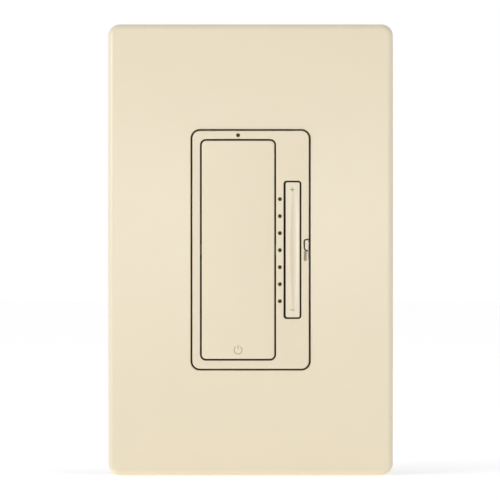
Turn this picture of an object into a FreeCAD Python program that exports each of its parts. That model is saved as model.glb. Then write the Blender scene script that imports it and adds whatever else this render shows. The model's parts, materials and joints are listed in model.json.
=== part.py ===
"""Paddle dimmer for a single-gang wall box, with its screwless wall plate.

Millimetres. X is to the right as seen from the room, Y points into the wall and Z is up.
The origin is the middle of the wall surface, where the strap's ears rest, so everything in the
room has a negative Y and everything in the wall box has a positive Y.
"""

import FreeCAD
import Part
import math
import os

V = FreeCAD.Vector
X, Y, Z = V(1, 0, 0), V(0, 1, 0), V(0, 0, 1)
SIDES = (-1, 1)

# ---------------------------------------------------------------- driving dimensions
# Wall plate
PLATE_W, PLATE_H, PLATE_CORNER = 79.4, 125.8, 3.2
PLATE_FRONT = -7.4           # the middle of the crowned face
PLATE_SAG = 1.6              # how far the crown falls back at the top and bottom edges
PLATE_WALL, PLATE_SKIN, PLATE_EDGE = 1.8, 2.0, 1.5
OPENING_W, OPENING_H, OPENING_CORNER = 33.42, 67.21, 2.58
COLLAR = 1.1                 # wall of the collar behind the opening
RIB = 1.0                    # thickness of the ribs inside
SIDE_RIB_X, SIDE_RIB_W, SIDE_RIB_ROWS = 27.0, 19.0, (-26.0, 0.0, 26.0)
END_RIB_X, END_RIB_Z, END_RIB_H = 12.0, 47.0, 24.0
OPENING_ROUND = 0.25         # rounding of the opening's front edge
HOOK_W, HOOK_T, HOOK_Y0, HOOK_Y1 = 8.0, 0.7, -2.6, -1.8
PRY_NOTCH_W, PRY_NOTCH_DEPTH = 10.0, 1.2

# Mounting frame that the wall plate snaps onto
FRAME_W, FRAME_H, FRAME_CORNER = 74.2, 120.6, 2.0
FRAME_FRONT, FRAME_BACK, FRAME_RIM_BACK, FRAME_RIM = -3.5, -1.5, -0.3, 1.4
FRAME_OPENING_W, FRAME_OPENING_H, FRAME_OPENING_CORNER = 32.7, 66.65, 2.23
TOOTH_W, TOOTH_BACK = 14.0, -2.7
SNAP_ROWS_SIDE = (-44.0, -15.0, 15.0, 44.0)
SNAP_ROWS_END = (-20.0, 20.0)
SIDE_POCKET_W, SIDE_POCKET_H, SIDE_POCKET_X, SIDE_POCKET_ROWS = 9.0, 11.0, 27.0, (8.0, 24.0)
END_POCKET_W, END_POCKET_H, END_POCKET_X, END_POCKET_Z, POCKET_CORNER = 11.0, 8.0, 25.0, 49.0, 1.5
COUNTERSINK_R, COUNTERSINK = 3.55, 1.6
SCREW_HEAD_HOLE_R = 4.1

# Strap, which is also the heat sink
STRAP_FRONT, STRAP_BACK = -1.5, 0.0
STRAP_W, STRAP_H = 63.4, 69.0
EAR_W, EAR_END, EAR_WING_W, EAR_WING_H = 24.0, 52.9, 34.0, 8.4
WINDOW_X0, WINDOW_X1, WINDOW_H = -12.5, 14.2, 59.8
FIN_LINE_X, FIN_LINE_R = 23.0, 0.45
FIN_SLOT_X, FIN_SLOT_Z, FIN_SLOT_W, FIN_SLOT_H, FIN_SLOT_CORNER = 27.2, 16.0, 5.0, 20.0, 2.2
EAR_SLOT_L, EAR_SLOT_W = 6.6, 4.0
BOX_SCREW_SPACING = 83.34    # 3 9/32 inch, the standard device box
PLATE_SCREW_SPACING = 96.84  # 3 13/16 inch, the standard decorator plate
FLAT_HEAD_R, FLAT_HEAD = 3.4, 1.55
PAN_HEAD_R, PAN_HEAD, PAN_SLOT = 3.5, 1.7, 0.9
SCREW_6_32, SCREW_6_32_NECK = 1.75, 1.4
BOX_SCREW_LENGTH, PLATE_SCREW_END = 25.4, 6.5
RETAINER, RETAINER_SIZE = 0.45, 9.0
GROUND_X, GROUND_Y, GROUND_W, GROUND_Z0, GROUND_Z1, GROUND_END = -13.5, 5.2, 9.0, -37.3, -35.8, 9.5
GROUND_SCREW_R, GROUND_SCREW_L, GROUND_HEAD_R, GROUND_HEAD, GROUND_SLOT = 1.95, 2.0, 3.9, 2.2, 1.1
HEAT_TAB_X0, HEAT_TAB_X1, HEAT_TAB_Z, HEAT_TAB_END = -14.0, -12.5, 13.0, 14.5

# Bezel
BEZEL_W, BEZEL_H, BEZEL_CORNER = 32.4, 66.21, 2.08
BEZEL_FRONT, BEZEL_SKIN, BEZEL_WALL = -7.7, 1.7, 1.2
BEZEL_EDGE, BEZEL_LIP = 0.25, 0.2  # rounding of the rim and of the openings' edges
BEZEL_UNDER = BEZEL_FRONT + BEZEL_SKIN
LEG_X, LEG_T, LEG_W, LEG_TIP, LEG_BARB = 15.6, 1.2, 5.0, 1.3, 0.7
LEG_ROWS = (-22.0, 22.0)

# Paddle, which turns the lights on and off
PADDLE_X = -3.5
PADDLE_W, PADDLE_H, PADDLE_CORNER, PADDLE_GAP = 20.22, 60.74, 1.2, 0.48
PADDLE_EDGE_Y, PADDLE_CROWN = -7.75, 0.35
PADDLE_UNDER, PADDLE_SKIRT, PADDLE_WALL = -6.5, -5.1, 1.2
PADDLE_EAR, PADDLE_EAR_H, PADDLE_EAR_FRONT = 0.36, 3.0, -5.8  # ears deep in the gap at mid-height
PADDLE_KEY_Z, PADDLE_KEY_W, PADDLE_SPRING_Z, PADDLE_SPRING_POST_R = 8.0, 2.0, 22.0, 1.1
PADDLE_SPRING_R, PADDLE_SPRING_WIRE = 1.55, 0.3
PADDLE_RIB_Z, PADDLE_RIB_T, PADDLE_RIB_BACK, PADDLE_EDGE_ROUND = 15.0, 0.8, -5.7, 0.35
PADDLE_LUG_X, PADDLE_POST_X, PADDLE_LUG_T, PADDLE_LUG_R = 5.0, 6.7, 1.4, 1.3
PADDLE_PIN_R, PADDLE_PIN_HALF = 0.75, 7.4

# Dimmer bar, brighter at the top and dimmer at the bottom
BAR_X = 11.71
BAR_W, BAR_H, BAR_CORNER, BAR_GAP = 3.9, 37.58, 0.43, 0.45
BAR_OPENING_X, BAR_OPENING_W = 11.65, 4.96
BAR_FRONT, BAR_UNDER, BAR_SKIRT, BAR_WALL = -7.8, -6.4, -5.5, 0.7
GROOVE_R, GROOVE_DEPTH, GROOVE_OFFSET, GROOVE_END = 2.2, 0.29, 0.46, 17.6
BAR_KEY_Z, BAR_KEY_W, BAR_SPRING_Z, BAR_SPRING_POST_R = 9.0, 1.6, 15.0, 0.55
BAR_SPRING_R, BAR_SPRING_WIRE, BAR_EDGE_ROUND = 0.95, 0.22, 0.18
BAR_LUG_T, BAR_LUG_R, BAR_POST_X, BAR_POST_T, BAR_POST_R = 1.2, 1.1, 1.4, 0.9, 0.9
BAR_PIN_R, BAR_PIN_HALF = 0.6, 1.85

PIVOT_Y = -4.4               # both rockers turn about axles at this depth
PIN_CLEARANCE = 0.03
KEY_TIP = -1.05

# Lights
LED_X, LED_MIDDLE_Z, LED_PITCH, LED_COUNT = 8.14, -0.1, 4.738, 7
LED_W, LED_H = 2.0, 1.25
RESISTOR_W, RESISTOR_H, RESISTOR_T, RESISTOR_OFFSET = 1.6, 0.8, 0.45, 3.2
LOCATOR_X, LOCATOR_Z = PADDLE_X, 31.9
LIGHT_HOLE_R, PIPE_R, PIPE_SUNK = 0.55, 0.51, 0.04
PIPE_WEB_Y0, PIPE_WEB_Y1, PIPE_WEB_H = -5.6, -4.6, 30.0

# Pull tab that cuts the power with an air gap
TAB_X0, TAB_X1, TAB_Z0, TAB_Z1 = 15.15, 16.1, -0.08, 2.67
TAB_GAP, TAB_TOP_R, TAB_LOW_R, TAB_BACK = 0.44, 0.42, 0.75, -5.6
SCOOP_X, SCOOP_W, SCOOP_Z, SCOOP_SHALLOW, SCOOP_DEEP = 14.79, 0.82, -3.05, 1.1, 1.4
SEAM_NOTCH = 0.25
TAB_GUIDE_X, TAB_GUIDE_Y0, TAB_GUIDE_Y1, TAB_GUIDE_MARGIN = 14.3, -3.6, -2.8, 0.8  # guide behind the tab
STEM_Z0, STEM_Z1, STEM_END, STEM_CLEARANCE = 0.4, 2.5, 8.5, 0.1
STOP_OUT, STOP_T, STOP_GAP = 1.0, 1.5, 0.05
SLIDER_TRAVEL = 3.0
BRIDGE_T, BRIDGE_Z0, BRIDGE_Z1, BRIDGE_BUTTON = 0.7, -2.3, 4.9, 0.2
CONTACT_Z = (-1.6, 4.2)
CONTACT_GAP, CONTACT_T, CONTACT_W = 0.02, 0.8, 2.2

# Pivot carrier between bezel and strap
CARRIER_W, CARRIER_H, CARRIER_FRONT = 29.6, 63.4, -2.7
PADDLE_KEY_WAY, BAR_KEY_WAY_W, BAR_KEY_WAY_H = 4.0, 3.0, 3.6  # ways through it for the pushers
SPRING_SEAT = 0.7
SPRING_TURNS = 4

# Rear housing and boards
HOUSING_W, HOUSING_H, HOUSING_DEPTH, HOUSING_CORNER = 42.0, 69.4, 33.0, 2.5
HOUSING_WALL, HOUSING_RIB = 1.6, 1.2
COLUMN_X, COLUMN_Z, COLUMN_R = 16.9, 30.6, 2.4
HOUSING_SCREW_R, HOUSING_SCREW_SUNK, HOUSING_SCREW_LENGTH = 1.2, 1.9, 32.3
HOUSING_HEAD_R, HOUSING_HEAD, HOUSING_SCREW_SLOT = 2.0, 1.4, 0.6
HOUSING_EDGE, BOARD_POST_X, BOARD_POST_W, BOARD_POST_H = 1.2, 10.0, 2.0, 3.0
VENT_W, VENT_H, VENT_R, VENT_Z, VENT_XS = 1.6, 9.0, 0.75, 28.4, range(-8, 9, 4)
LABEL_W, LABEL_H, LABEL_CORNER, LABEL_Z, LABEL_SUNK = 28.0, 34.0, 1.5, 4.0, 0.3
GAUGE_W, GAUGE_H, GAUGE_CORNER, GAUGE_Z, GAUGE_SUNK = 14.0, 3.0, 1.4, -24.0, 0.5  # strip gauge
CONTROL_FRONT, BOARD = 3.4, 1.6
CONTROL_X0, CONTROL_X1, CONTROL_HALF_H = -12.0, 19.0, 32.6
POWER_W, POWER_H, POWER_WAIST_H, POWER_NARROW_W = 37.6, 63.2, 30.0, 30.6
CONTROL_BACK = CONTROL_FRONT + BOARD
POWER_FRONT = 17.0
POWER_BACK = POWER_FRONT + BOARD
SWITCH_SIZE, SWITCH_FRONT, PLUNGER_R, PLUNGER_TIP = 4.5, -0.1, 1.2, -1.0
LED_FRONT = 2.6
CHIP_Z, CHIP_SIZE, CHIP_PITCH, CHIP_LEGS = 20.5, 7.0, 0.8, 8
HEADER_X, HEADER_Z, HEADER_PITCH, HEADER_ROWS, HEADER_PIN = 4.0, -24.0, 2.54, 5, 0.64
HEADER_Y0, HEADER_Y1 = 8.0, 12.0
SPACER_R = 1.9
SPACERS = [(-9.5, 28.5), (12.0, 28.5), (-9.5, -28.5), (12.0, -28.5)]

# Parts of the power board, all standing on its back face
CHOKE_X, CHOKE_Z, CHOKE_INNER, CHOKE_OUTER, CHOKE_H = -6.0, 14.5, 4.2, 7.6, 6.6
CHOKE_LIFT, CHOKE_WIRE, CHOKE_TURNS = 1.4, 0.8, 18
FILM_X0, FILM_X1, FILM_Z0, FILM_Z1, FILM_H = 5.0, 13.5, 3.0, 20.5, 11.5
CAN_X, CAN_Z, CAN_R, CAN_H, CAN_NECK, CAN_NECK_R = 8.0, -8.0, 5.0, 12.0, 2.2, 0.5
DISC_X0, DISC_X1, DISC_Z, DISC_R, DISC_LIFT = -9.0, -5.2, -10.0, 4.8, 6.2
DISC_LEG_R, DISC_LEG_L, DISC_LEG_Z = 0.35, 3.2, 2.5
FUSE_X, FUSE_Z0, FUSE_Z1, FUSE_R, FUSE_CAP = -4.0, -28.0, -17.0, 1.9, 1.8

# Power transistors on the strap's heat tab
PAD = 0.3
TRANSISTOR_Z, TRANSISTOR_W, TRANSISTOR_HOLE_Y, TRANSISTOR_HOLE_R = 6.4, 10.0, 3.6, 1.9
TRANSISTOR_TAB_T, TRANSISTOR_TAB_Y0, TRANSISTOR_BODY_T = 1.3, 0.6, 4.4
TRANSISTOR_BODY_Y0, TRANSISTOR_BODY_Y1, TRANSISTOR_LEG_PITCH = 7.0, 15.5, 2.54
TRANSISTOR_LEG_X, TRANSISTOR_LEG_T, TRANSISTOR_LEG_W, PAD_HALF = 2.6, 0.5, 0.8, 5.4
TRANSISTOR_SCREW_R, TRANSISTOR_HEAD_R, TRANSISTOR_HEAD, TRANSISTOR_SLOT = 1.5, 2.75, 1.9, 0.7

# Screw terminals in the housing's side pockets
TERMINAL_Z, TERMINAL_Y = 22.5, 16.5
POCKET_X, POCKET_W, POCKET_Y0, POCKET_Y1, POCKET_WALL = 16.8, 10.4, 9.6, 24.0, 1.2
LUG_T, LUG_W, LUG_Y0, LUG_Y1, LUG_LEG_X, LUG_LEG_W = 1.1, 8.8, 10.6, 22.4, 14.2, 3.0
CLAMP_X0, CLAMP_T, CLAMP_W, CLAMP_Y0, CLAMP_Y1, CLAMP_LIP = 19.6, 0.9, 7.8, 12.6, 20.4, 0.6
TERMINAL_SCREW_R, TERMINAL_HEAD_R, TERMINAL_HEAD, TERMINAL_SCREW_TIP = 2.05, 3.9, 1.8, 15.9

FAR = 60.0                   # reaches past the whole object
OUT = "parts"


# ---------------------------------------------------------------- shape helpers
def box(x0, x1, y0, y1, z0, z1):
    """A block between two corners, whichever way round each pair is given."""
    lo = V(min(x0, x1), min(y0, y1), min(z0, z1))
    return Part.makeBox(abs(x1 - x0), abs(y1 - y0), abs(z1 - z0), lo)


def block(cx, cz, w, h, y0, y1):
    """A block centred on (cx, cz) in the wall's plane."""
    return box(cx - w / 2, cx + w / 2, y0, y1, cz - h / 2, cz + h / 2)


def rod(r, y0, y1, x=0.0, z=0.0):
    """A round bar along Y."""
    return Part.makeCylinder(r, y1 - y0, V(x, y0, z), Y)


def rod_x(r, x0, x1, y, z):
    """A round bar along X."""
    return Part.makeCylinder(r, abs(x1 - x0), V(min(x0, x1), y, z), X)


def rod_z(r, z0, z1, x, y):
    """A round bar along Z."""
    return Part.makeCylinder(r, z1 - z0, V(x, y, z0), Z)


def rounded(w, h, r, y0, y1, cx=0.0, cz=0.0):
    """A block whose four edges along Y are rounded."""
    return round_off(block(cx, cz, w, h, y0, y1), r, lambda b: b.YLength > (y1 - y0) * 0.99)


def polygon_bar(points, along):
    """A straight bar whose section is a closed polygon."""
    return Part.Face(Part.makePolygon(points + points[:1])).extrude(along)


def slot(cx, cz, length, width, y0, y1):
    """An obround bar along Y, its long side along X."""
    half = (length - width) / 2
    ends = [rod(width / 2, y0, y1, cx + s * half, cz) for s in SIDES]
    return fuse(block(cx, cz, 2 * half, width, y0, y1), *ends)


def fuse(*shapes):
    """One solid from several that touch or overlap."""
    return shapes[0].multiFuse(list(shapes[1:])).removeSplitter()


def cut(shape, *tools):
    """The shape with every tool taken away."""
    for tool in tools:
        shape = shape.cut(tool)
    return shape


def round_off(shape, radius, test):
    """Fillets the edges whose bounding box passes the test."""
    return shape.makeFillet(radius, [e for e in shape.Edges if test(e.BoundBox)])


def bevel(shape, size, test):
    """Chamfers the edges whose bounding box passes the test."""
    return shape.makeChamfer(size, [e for e in shape.Edges if test(e.BoundBox)])


def mirror_x(shape):
    """The shape's mirror image across the plane X = 0."""
    return shape.mirror(V(0, 0, 0), X)


def coil(r, wire, y0, length, x, z):
    """A compression spring of square wire along Y, between the middles of its end turns."""
    helix = Part.makeHelix(length / SPRING_TURNS, length, r)
    half = wire / 2
    corners = [V(r - half, 0, -half), V(r + half, 0, -half), V(r + half, 0, half), V(r - half, 0, half)]
    section = Part.makePolygon(corners + corners[:1])
    spring = Part.Wire(helix.Edges).makePipeShell([section], True, True)
    spring.rotate(V(0, 0, 0), X, -90)
    spring.translate(V(x, y0, z))
    return spring


def pan_head_screw(r, length, head_r, head_h, drive):
    """A slotted pan-head screw along +Z, with the underside of its head at the origin."""
    head = Part.makeCylinder(head_r, head_h, V(0, 0, -head_h), Z)
    head = round_off(head, head_h * 0.45, lambda b: b.ZMax < -head_h * 0.99)
    head = head.cut(Part.makeBox(2.2 * head_r, drive, head_h * 0.5, V(-1.1 * head_r, -drive / 2, -head_h)))
    shank = bevel(Part.makeCylinder(r, length), r * 0.3, lambda b: b.ZMin > length * 0.99)
    return head.fuse(shank)


def place(shape, direction, at):
    """The shape with its +Z turned to a direction and its origin moved to a point."""
    turned = shape.copy()
    turned.Placement = FreeCAD.Placement(V(*at), FreeCAD.Rotation(Z, direction))
    return turned


def save(name, *shapes):
    """Writes one node, made of one or more separate solids."""
    solids = [s for shape in shapes for s in shape.Solids]
    for s in solids:
        if not s.isValid() or s.Volume <= 0:
            raise ValueError(f"{name} has a bad solid")
    whole = solids[0] if len(solids) == 1 else Part.makeCompound(solids)
    whole.exportStep(f"{OUT}/{name}.step")


# ---------------------------------------------------------------- wall plate and its frame
def crown(inset=0.0):
    """A drum along X whose surface is the plate's crowned face, or one that far inside it."""
    half = PLATE_H / 2
    radius = (half**2 + PLATE_SAG**2) / (2 * PLATE_SAG)
    return rod_x(radius - inset, -FAR, FAR, PLATE_FRONT + radius, 0)


def wall_plate():
    """The screwless cover: a crowned shell with the device opening and a collar round it."""
    front = PLATE_FRONT - 1
    shell = rounded(PLATE_W, PLATE_H, PLATE_CORNER, front, 0).common(crown())
    shell = round_off(shell, PLATE_EDGE, lambda b: b.YMax < -3 and b.YMin < -5)
    inner_w, inner_h, inner_r = PLATE_W - 2 * PLATE_WALL, PLATE_H - 2 * PLATE_WALL, PLATE_CORNER - PLATE_WALL
    shell = shell.cut(rounded(inner_w, inner_h, inner_r, front, 1).common(crown(PLATE_SKIN)))
    rib_back = FRAME_FRONT - 0.1
    room = rounded(inner_w, inner_h, inner_r, front, rib_back).common(crown(PLATE_SKIN / 2))
    inside = [rounded(OPENING_W + 2 * COLLAR, OPENING_H + 2 * COLLAR, OPENING_CORNER + COLLAR, front, rib_back)]
    inside += [block(s * SIDE_RIB_X, z, SIDE_RIB_W, RIB, front, rib_back) for s in SIDES for z in SIDE_RIB_ROWS]
    inside += [block(side * END_RIB_X, s * END_RIB_Z, RIB, END_RIB_H, front, rib_back)
               for s in SIDES for side in SIDES]
    hooks = []
    hook_x, hook_z = (inner_w - HOOK_T) / 2, (inner_h - HOOK_T) / 2
    for s in SIDES:
        hooks += [block(s * (hook_x + 0.05), z, HOOK_T, HOOK_W, HOOK_Y0, HOOK_Y1) for z in SNAP_ROWS_SIDE]
        hooks += [block(x, s * (hook_z + 0.05), HOOK_W, HOOK_T, HOOK_Y0, HOOK_Y1) for x in SNAP_ROWS_END]
    shell = fuse(shell, fuse(*inside).common(room), *hooks)
    opening = rounded(OPENING_W, OPENING_H, OPENING_CORNER, front, 1)
    notch_top = -PLATE_H / 2 + PLATE_WALL + 0.5
    pry_notch = box(-PRY_NOTCH_W / 2, PRY_NOTCH_W / 2, -PRY_NOTCH_DEPTH, 1, -PLATE_H / 2 - 1, notch_top)
    shell = cut(shell, opening, pry_notch)

    def lip(b):
        inside_opening = max(abs(b.XMin), abs(b.XMax)) < OPENING_W / 2 + 0.05
        return b.YMax < -6.8 and inside_opening and abs(b.ZMin) < OPENING_H / 2 + 0.05
    return round_off(shell, OPENING_ROUND, lip)


def mounting_frame():
    """The hidden frame that is screwed to the strap, with teeth that the cover snaps over."""
    base = rounded(FRAME_W, FRAME_H, FRAME_CORNER, FRAME_FRONT, FRAME_BACK)
    rim = rounded(FRAME_W, FRAME_H, FRAME_CORNER, FRAME_FRONT, FRAME_RIM_BACK)
    rim = rim.cut(rounded(FRAME_W - 2 * FRAME_RIM, FRAME_H - 2 * FRAME_RIM, 0.6, -4, 1))
    teeth = []
    for s in SIDES:
        teeth += [block(s * FRAME_W / 2, z, 1.0, TOOTH_W, FRAME_FRONT, TOOTH_BACK) for z in SNAP_ROWS_SIDE]
        teeth += [block(x, s * FRAME_H / 2, TOOTH_W, 1.0, FRAME_FRONT, TOOTH_BACK) for x in SNAP_ROWS_END]
    tools = [rounded(FRAME_OPENING_W, FRAME_OPENING_H, FRAME_OPENING_CORNER, -4, 0)]
    for s in SIDES:
        z = s * PLATE_SCREW_SPACING / 2
        tools.append(rod(SCREW_6_32 + 0.2, -4, 0, 0, z))
        tools.append(Part.makeCone(COUNTERSINK_R, SCREW_6_32 + 0.2, COUNTERSINK, V(0, FRAME_FRONT, z), Y))
        tools.append(rod(SCREW_HEAD_HOLE_R, -4, 0, 0, s * BOX_SCREW_SPACING / 2))
        for side in SIDES:
            tools += [rounded(SIDE_POCKET_W, SIDE_POCKET_H, POCKET_CORNER, -4, 0, side * SIDE_POCKET_X, s * row)
                      for row in SIDE_POCKET_ROWS]
            tools.append(rounded(END_POCKET_W, END_POCKET_H, POCKET_CORNER, -4, 0, side * END_POCKET_X,
                                 s * END_POCKET_Z))
    return cut(fuse(base, rim, *teeth), *tools)


def plate_screws():
    """Two flat-head No. 6-32 screws that hold the mounting frame on the strap."""
    made = []
    for s in SIDES:
        z = s * PLATE_SCREW_SPACING / 2
        head = Part.makeCone(FLAT_HEAD_R, SCREW_6_32, FLAT_HEAD, V(0, FRAME_FRONT, z), Y)
        head = head.cut(block(0, z, 8, 1.0, FRAME_FRONT - 1, FRAME_FRONT + 0.8))
        shank = rod(SCREW_6_32, FRAME_FRONT + FLAT_HEAD, PLATE_SCREW_END, 0, z)
        shank = bevel(shank, 0.5, lambda b: b.YMin > PLATE_SCREW_END - 0.01)
        made.append(head.fuse(shank))
    return made


# ---------------------------------------------------------------- strap and its screws
def heat_sink_strap():
    """The aluminium mounting strap: ears, window, break-off fins, transistor tab and ground tab."""
    ground_x0, ground_x1 = GROUND_X - GROUND_W / 2, GROUND_X + GROUND_W / 2
    strap = fuse(
        rounded(STRAP_W, STRAP_H, 2.5, STRAP_FRONT, STRAP_BACK),
        rounded(EAR_W, 2 * EAR_END, 2.0, STRAP_FRONT, STRAP_BACK),
        *[rounded(EAR_WING_W, EAR_WING_H, 1.5, STRAP_FRONT, STRAP_BACK, 0, s * (EAR_END - EAR_WING_H / 2))
          for s in SIDES],
        box(HEAT_TAB_X0, HEAT_TAB_X1, STRAP_FRONT, HEAT_TAB_END, -HEAT_TAB_Z, HEAT_TAB_Z),
        box(ground_x0, ground_x1, STRAP_FRONT, GROUND_END, GROUND_Z0, GROUND_Z1),
        box(ground_x0, ground_x1, STRAP_FRONT, STRAP_BACK, GROUND_Z0, -30),
    )
    window_x = (WINDOW_X0 + WINDOW_X1) / 2
    tools = [
        rounded(WINDOW_X1 - WINDOW_X0, WINDOW_H, 1.5, STRAP_FRONT - 1, 0.001, window_x, 0),
        box(TAB_X0 - STEM_CLEARANCE, TAB_X1 + STEM_CLEARANCE, -2, 1,
            STEM_Z0 - STEM_CLEARANCE, STEM_Z1 + STEM_CLEARANCE),
        rod(PIPE_R + 0.24, -2, 1, LOCATOR_X, LOCATOR_Z),
        rod_z(GROUND_SCREW_R + 0.05, GROUND_Z0 - 1, GROUND_Z1 + 1, GROUND_X, GROUND_Y),
    ]
    for s in SIDES:
        tools.append(slot(0, s * BOX_SCREW_SPACING / 2, EAR_SLOT_L, EAR_SLOT_W, -2, 1))
        tools.append(rod(SCREW_6_32 + 0.05, -2, 1, 0, s * PLATE_SCREW_SPACING / 2))
        tools.append(rod_x(1.55, HEAT_TAB_X0 - 1, HEAT_TAB_X1 + 1, TRANSISTOR_HOLE_Y, s * TRANSISTOR_Z))
        tools.append(rod_z(FIN_LINE_R, -STRAP_H, STRAP_H, s * FIN_LINE_X, STRAP_FRONT))
        for side in SIDES:
            tools.append(rod(HOUSING_SCREW_R + 0.05, -2, 1, side * COLUMN_X, s * COLUMN_Z))
            tools.append(block(side * LEG_X, s * LEG_ROWS[1], LEG_T + 0.3, LEG_W + 0.4, -2, 1))
            tools.append(rounded(FIN_SLOT_W, FIN_SLOT_H, FIN_SLOT_CORNER, -2, 1, side * FIN_SLOT_X,
                                 s * FIN_SLOT_Z))
    return cut(strap, *tools)


def box_screws():
    """Two captive No. 6-32 screws that fasten the strap to the wall box, with a plain neck in the strap."""
    neck_end = RETAINER - STRAP_FRONT
    made = []
    for s in SIDES:
        shank = Part.makeCylinder(SCREW_6_32, BOX_SCREW_LENGTH - neck_end, V(0, 0, neck_end), Z)
        shank = bevel(shank, 0.5, lambda b: b.ZMin > BOX_SCREW_LENGTH - 0.01)
        screw = pan_head_screw(SCREW_6_32_NECK, neck_end + 1, PAN_HEAD_R, PAN_HEAD, PAN_SLOT).fuse(shank)
        made.append(place(screw, Y, (0, STRAP_FRONT, s * BOX_SCREW_SPACING / 2)))
    return made


def screw_retainers():
    """Two fibre washers that keep the box screws in the strap."""
    made = []
    for s in SIDES:
        z = s * BOX_SCREW_SPACING / 2
        washer = rounded(RETAINER_SIZE, RETAINER_SIZE, 1.2, STRAP_BACK, RETAINER, 0, z)
        made.append(washer.cut(rod(SCREW_6_32_NECK + 0.05, -1, 2, 0, z)))
    return made


def ground_screw():
    """The green grounding screw, up through the strap's bent tab."""
    screw = pan_head_screw(GROUND_SCREW_R, GROUND_SCREW_L, GROUND_HEAD_R, GROUND_HEAD, GROUND_SLOT)
    return place(screw, Z, (GROUND_X, GROUND_Y, GROUND_Z0))


# ---------------------------------------------------------------- bezel
def led_rows():
    """Heights of the level lights, top to bottom."""
    return [LED_MIDDLE_Z + ((LED_COUNT - 1) / 2 - i) * LED_PITCH for i in range(LED_COUNT)]


def tab_outline(gap, y0, y1):
    """The pull tab's block, grown by a gap and open to the right, with its two left corners rounded."""
    x0, x1 = TAB_X0 - gap, TAB_X1 + (2 if gap else 0)
    shape = box(x0, x1, y0, y1, TAB_Z0 - gap, TAB_Z1 + gap)

    def left_edge(b):
        return b.YLength > (y1 - y0) * 0.99 and b.XMax < x0 + 0.01
    shape = round_off(shape, TAB_TOP_R + gap, lambda b: left_edge(b) and b.ZMin > 1)
    return round_off(shape, TAB_LOW_R + gap, lambda b: left_edge(b) and b.ZMax < 1)


def snap_leg(side, z):
    """A leg at the bezel's edge that reaches through the strap and hooks behind it."""
    leg = block(LEG_X, z, LEG_T, LEG_W, STRAP_FRONT - 1, LEG_TIP)
    face_x, low_z = LEG_X + LEG_T / 2, z - LEG_W / 2
    barb = polygon_bar(
        [V(face_x, 0.06, low_z), V(face_x + LEG_BARB, 0.06, low_z), V(face_x, LEG_TIP, low_z)], V(0, 0, LEG_W))
    whole = fuse(leg, barb)
    return whole if side > 0 else mirror_x(whole)


def front_bezel():
    """The face of the device, with the openings for the paddle, bar, lights and pull tab."""
    front = BEZEL_FRONT - 1
    shell = rounded(BEZEL_W, BEZEL_H, BEZEL_CORNER, BEZEL_FRONT, STRAP_FRONT)
    shell = round_off(shell, BEZEL_EDGE, lambda b: b.YMax < BEZEL_FRONT + 0.01)
    shell = shell.cut(rounded(BEZEL_W - 2 * BEZEL_WALL, BEZEL_H - 2 * BEZEL_WALL, 0.9, BEZEL_UNDER, 0))
    shell = cut(
        shell,
        rounded(PADDLE_W + 2 * PADDLE_GAP, PADDLE_H + 2 * PADDLE_GAP, PADDLE_CORNER + PADDLE_GAP,
                front, 0, PADDLE_X),
        rounded(BAR_OPENING_W, BAR_H + 2 * BAR_GAP, BAR_CORNER + BAR_GAP, front, 0, BAR_OPENING_X),
    )

    def lip(b):
        inside = max(abs(b.XMin), abs(b.XMax)) < BEZEL_W / 2 - 1 and abs(b.ZMax) < BEZEL_H / 2 - 1
        return b.YMax < BEZEL_FRONT + 0.01 and inside
    shell = round_off(shell, BEZEL_LIP, lip)
    scoop_top = TAB_Z0 - TAB_GAP + 0.1
    scoop = polygon_bar([
        V(SCOOP_X, front, scoop_top), V(SCOOP_X, BEZEL_FRONT + SCOOP_DEEP, scoop_top),
        V(SCOOP_X, BEZEL_FRONT + SCOOP_SHALLOW, SCOOP_Z), V(SCOOP_X, front, SCOOP_Z)], V(SCOOP_W, 0, 0))
    edge = BEZEL_W / 2
    seam_notch = box(edge - SEAM_NOTCH, edge + 1, front, STRAP_FRONT, SCOOP_Z, TAB_Z0)
    lights = [rod(LIGHT_HOLE_R, front, 0, LED_X, z) for z in led_rows()]
    lights.append(rod(LIGHT_HOLE_R, front, 0, LOCATOR_X, LOCATOR_Z))
    shell = cut(shell, *lights, tab_outline(TAB_GAP, front, TAB_GUIDE_Y0), scoop, seam_notch)
    guide = box(TAB_GUIDE_X, edge - 0.1, TAB_GUIDE_Y0, TAB_GUIDE_Y1,
                TAB_Z0 - TAB_GUIDE_MARGIN, TAB_Z1 + TAB_GUIDE_MARGIN)
    stem_way = box(TAB_X0 - STEM_CLEARANCE, edge + 1, TAB_GUIDE_Y0 - 1, 0,
                   STEM_Z0 - STEM_CLEARANCE, STEM_Z1 + STEM_CLEARANCE)
    legs = [snap_leg(side, z) for side in SIDES for z in LEG_ROWS]
    return fuse(shell, guide, *legs).cut(stem_way)


# ---------------------------------------------------------------- rockers
def lug(x, thickness, radius, y_root, half_height):
    """A plate that hangs from a rocker or stands on the carrier, round at the axle."""
    x0, x1 = x - thickness / 2, x + thickness / 2
    return fuse(box(x0, x1, y_root, PIVOT_Y, -half_height, half_height), rod_x(radius, x0, x1, PIVOT_Y, 0))


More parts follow.
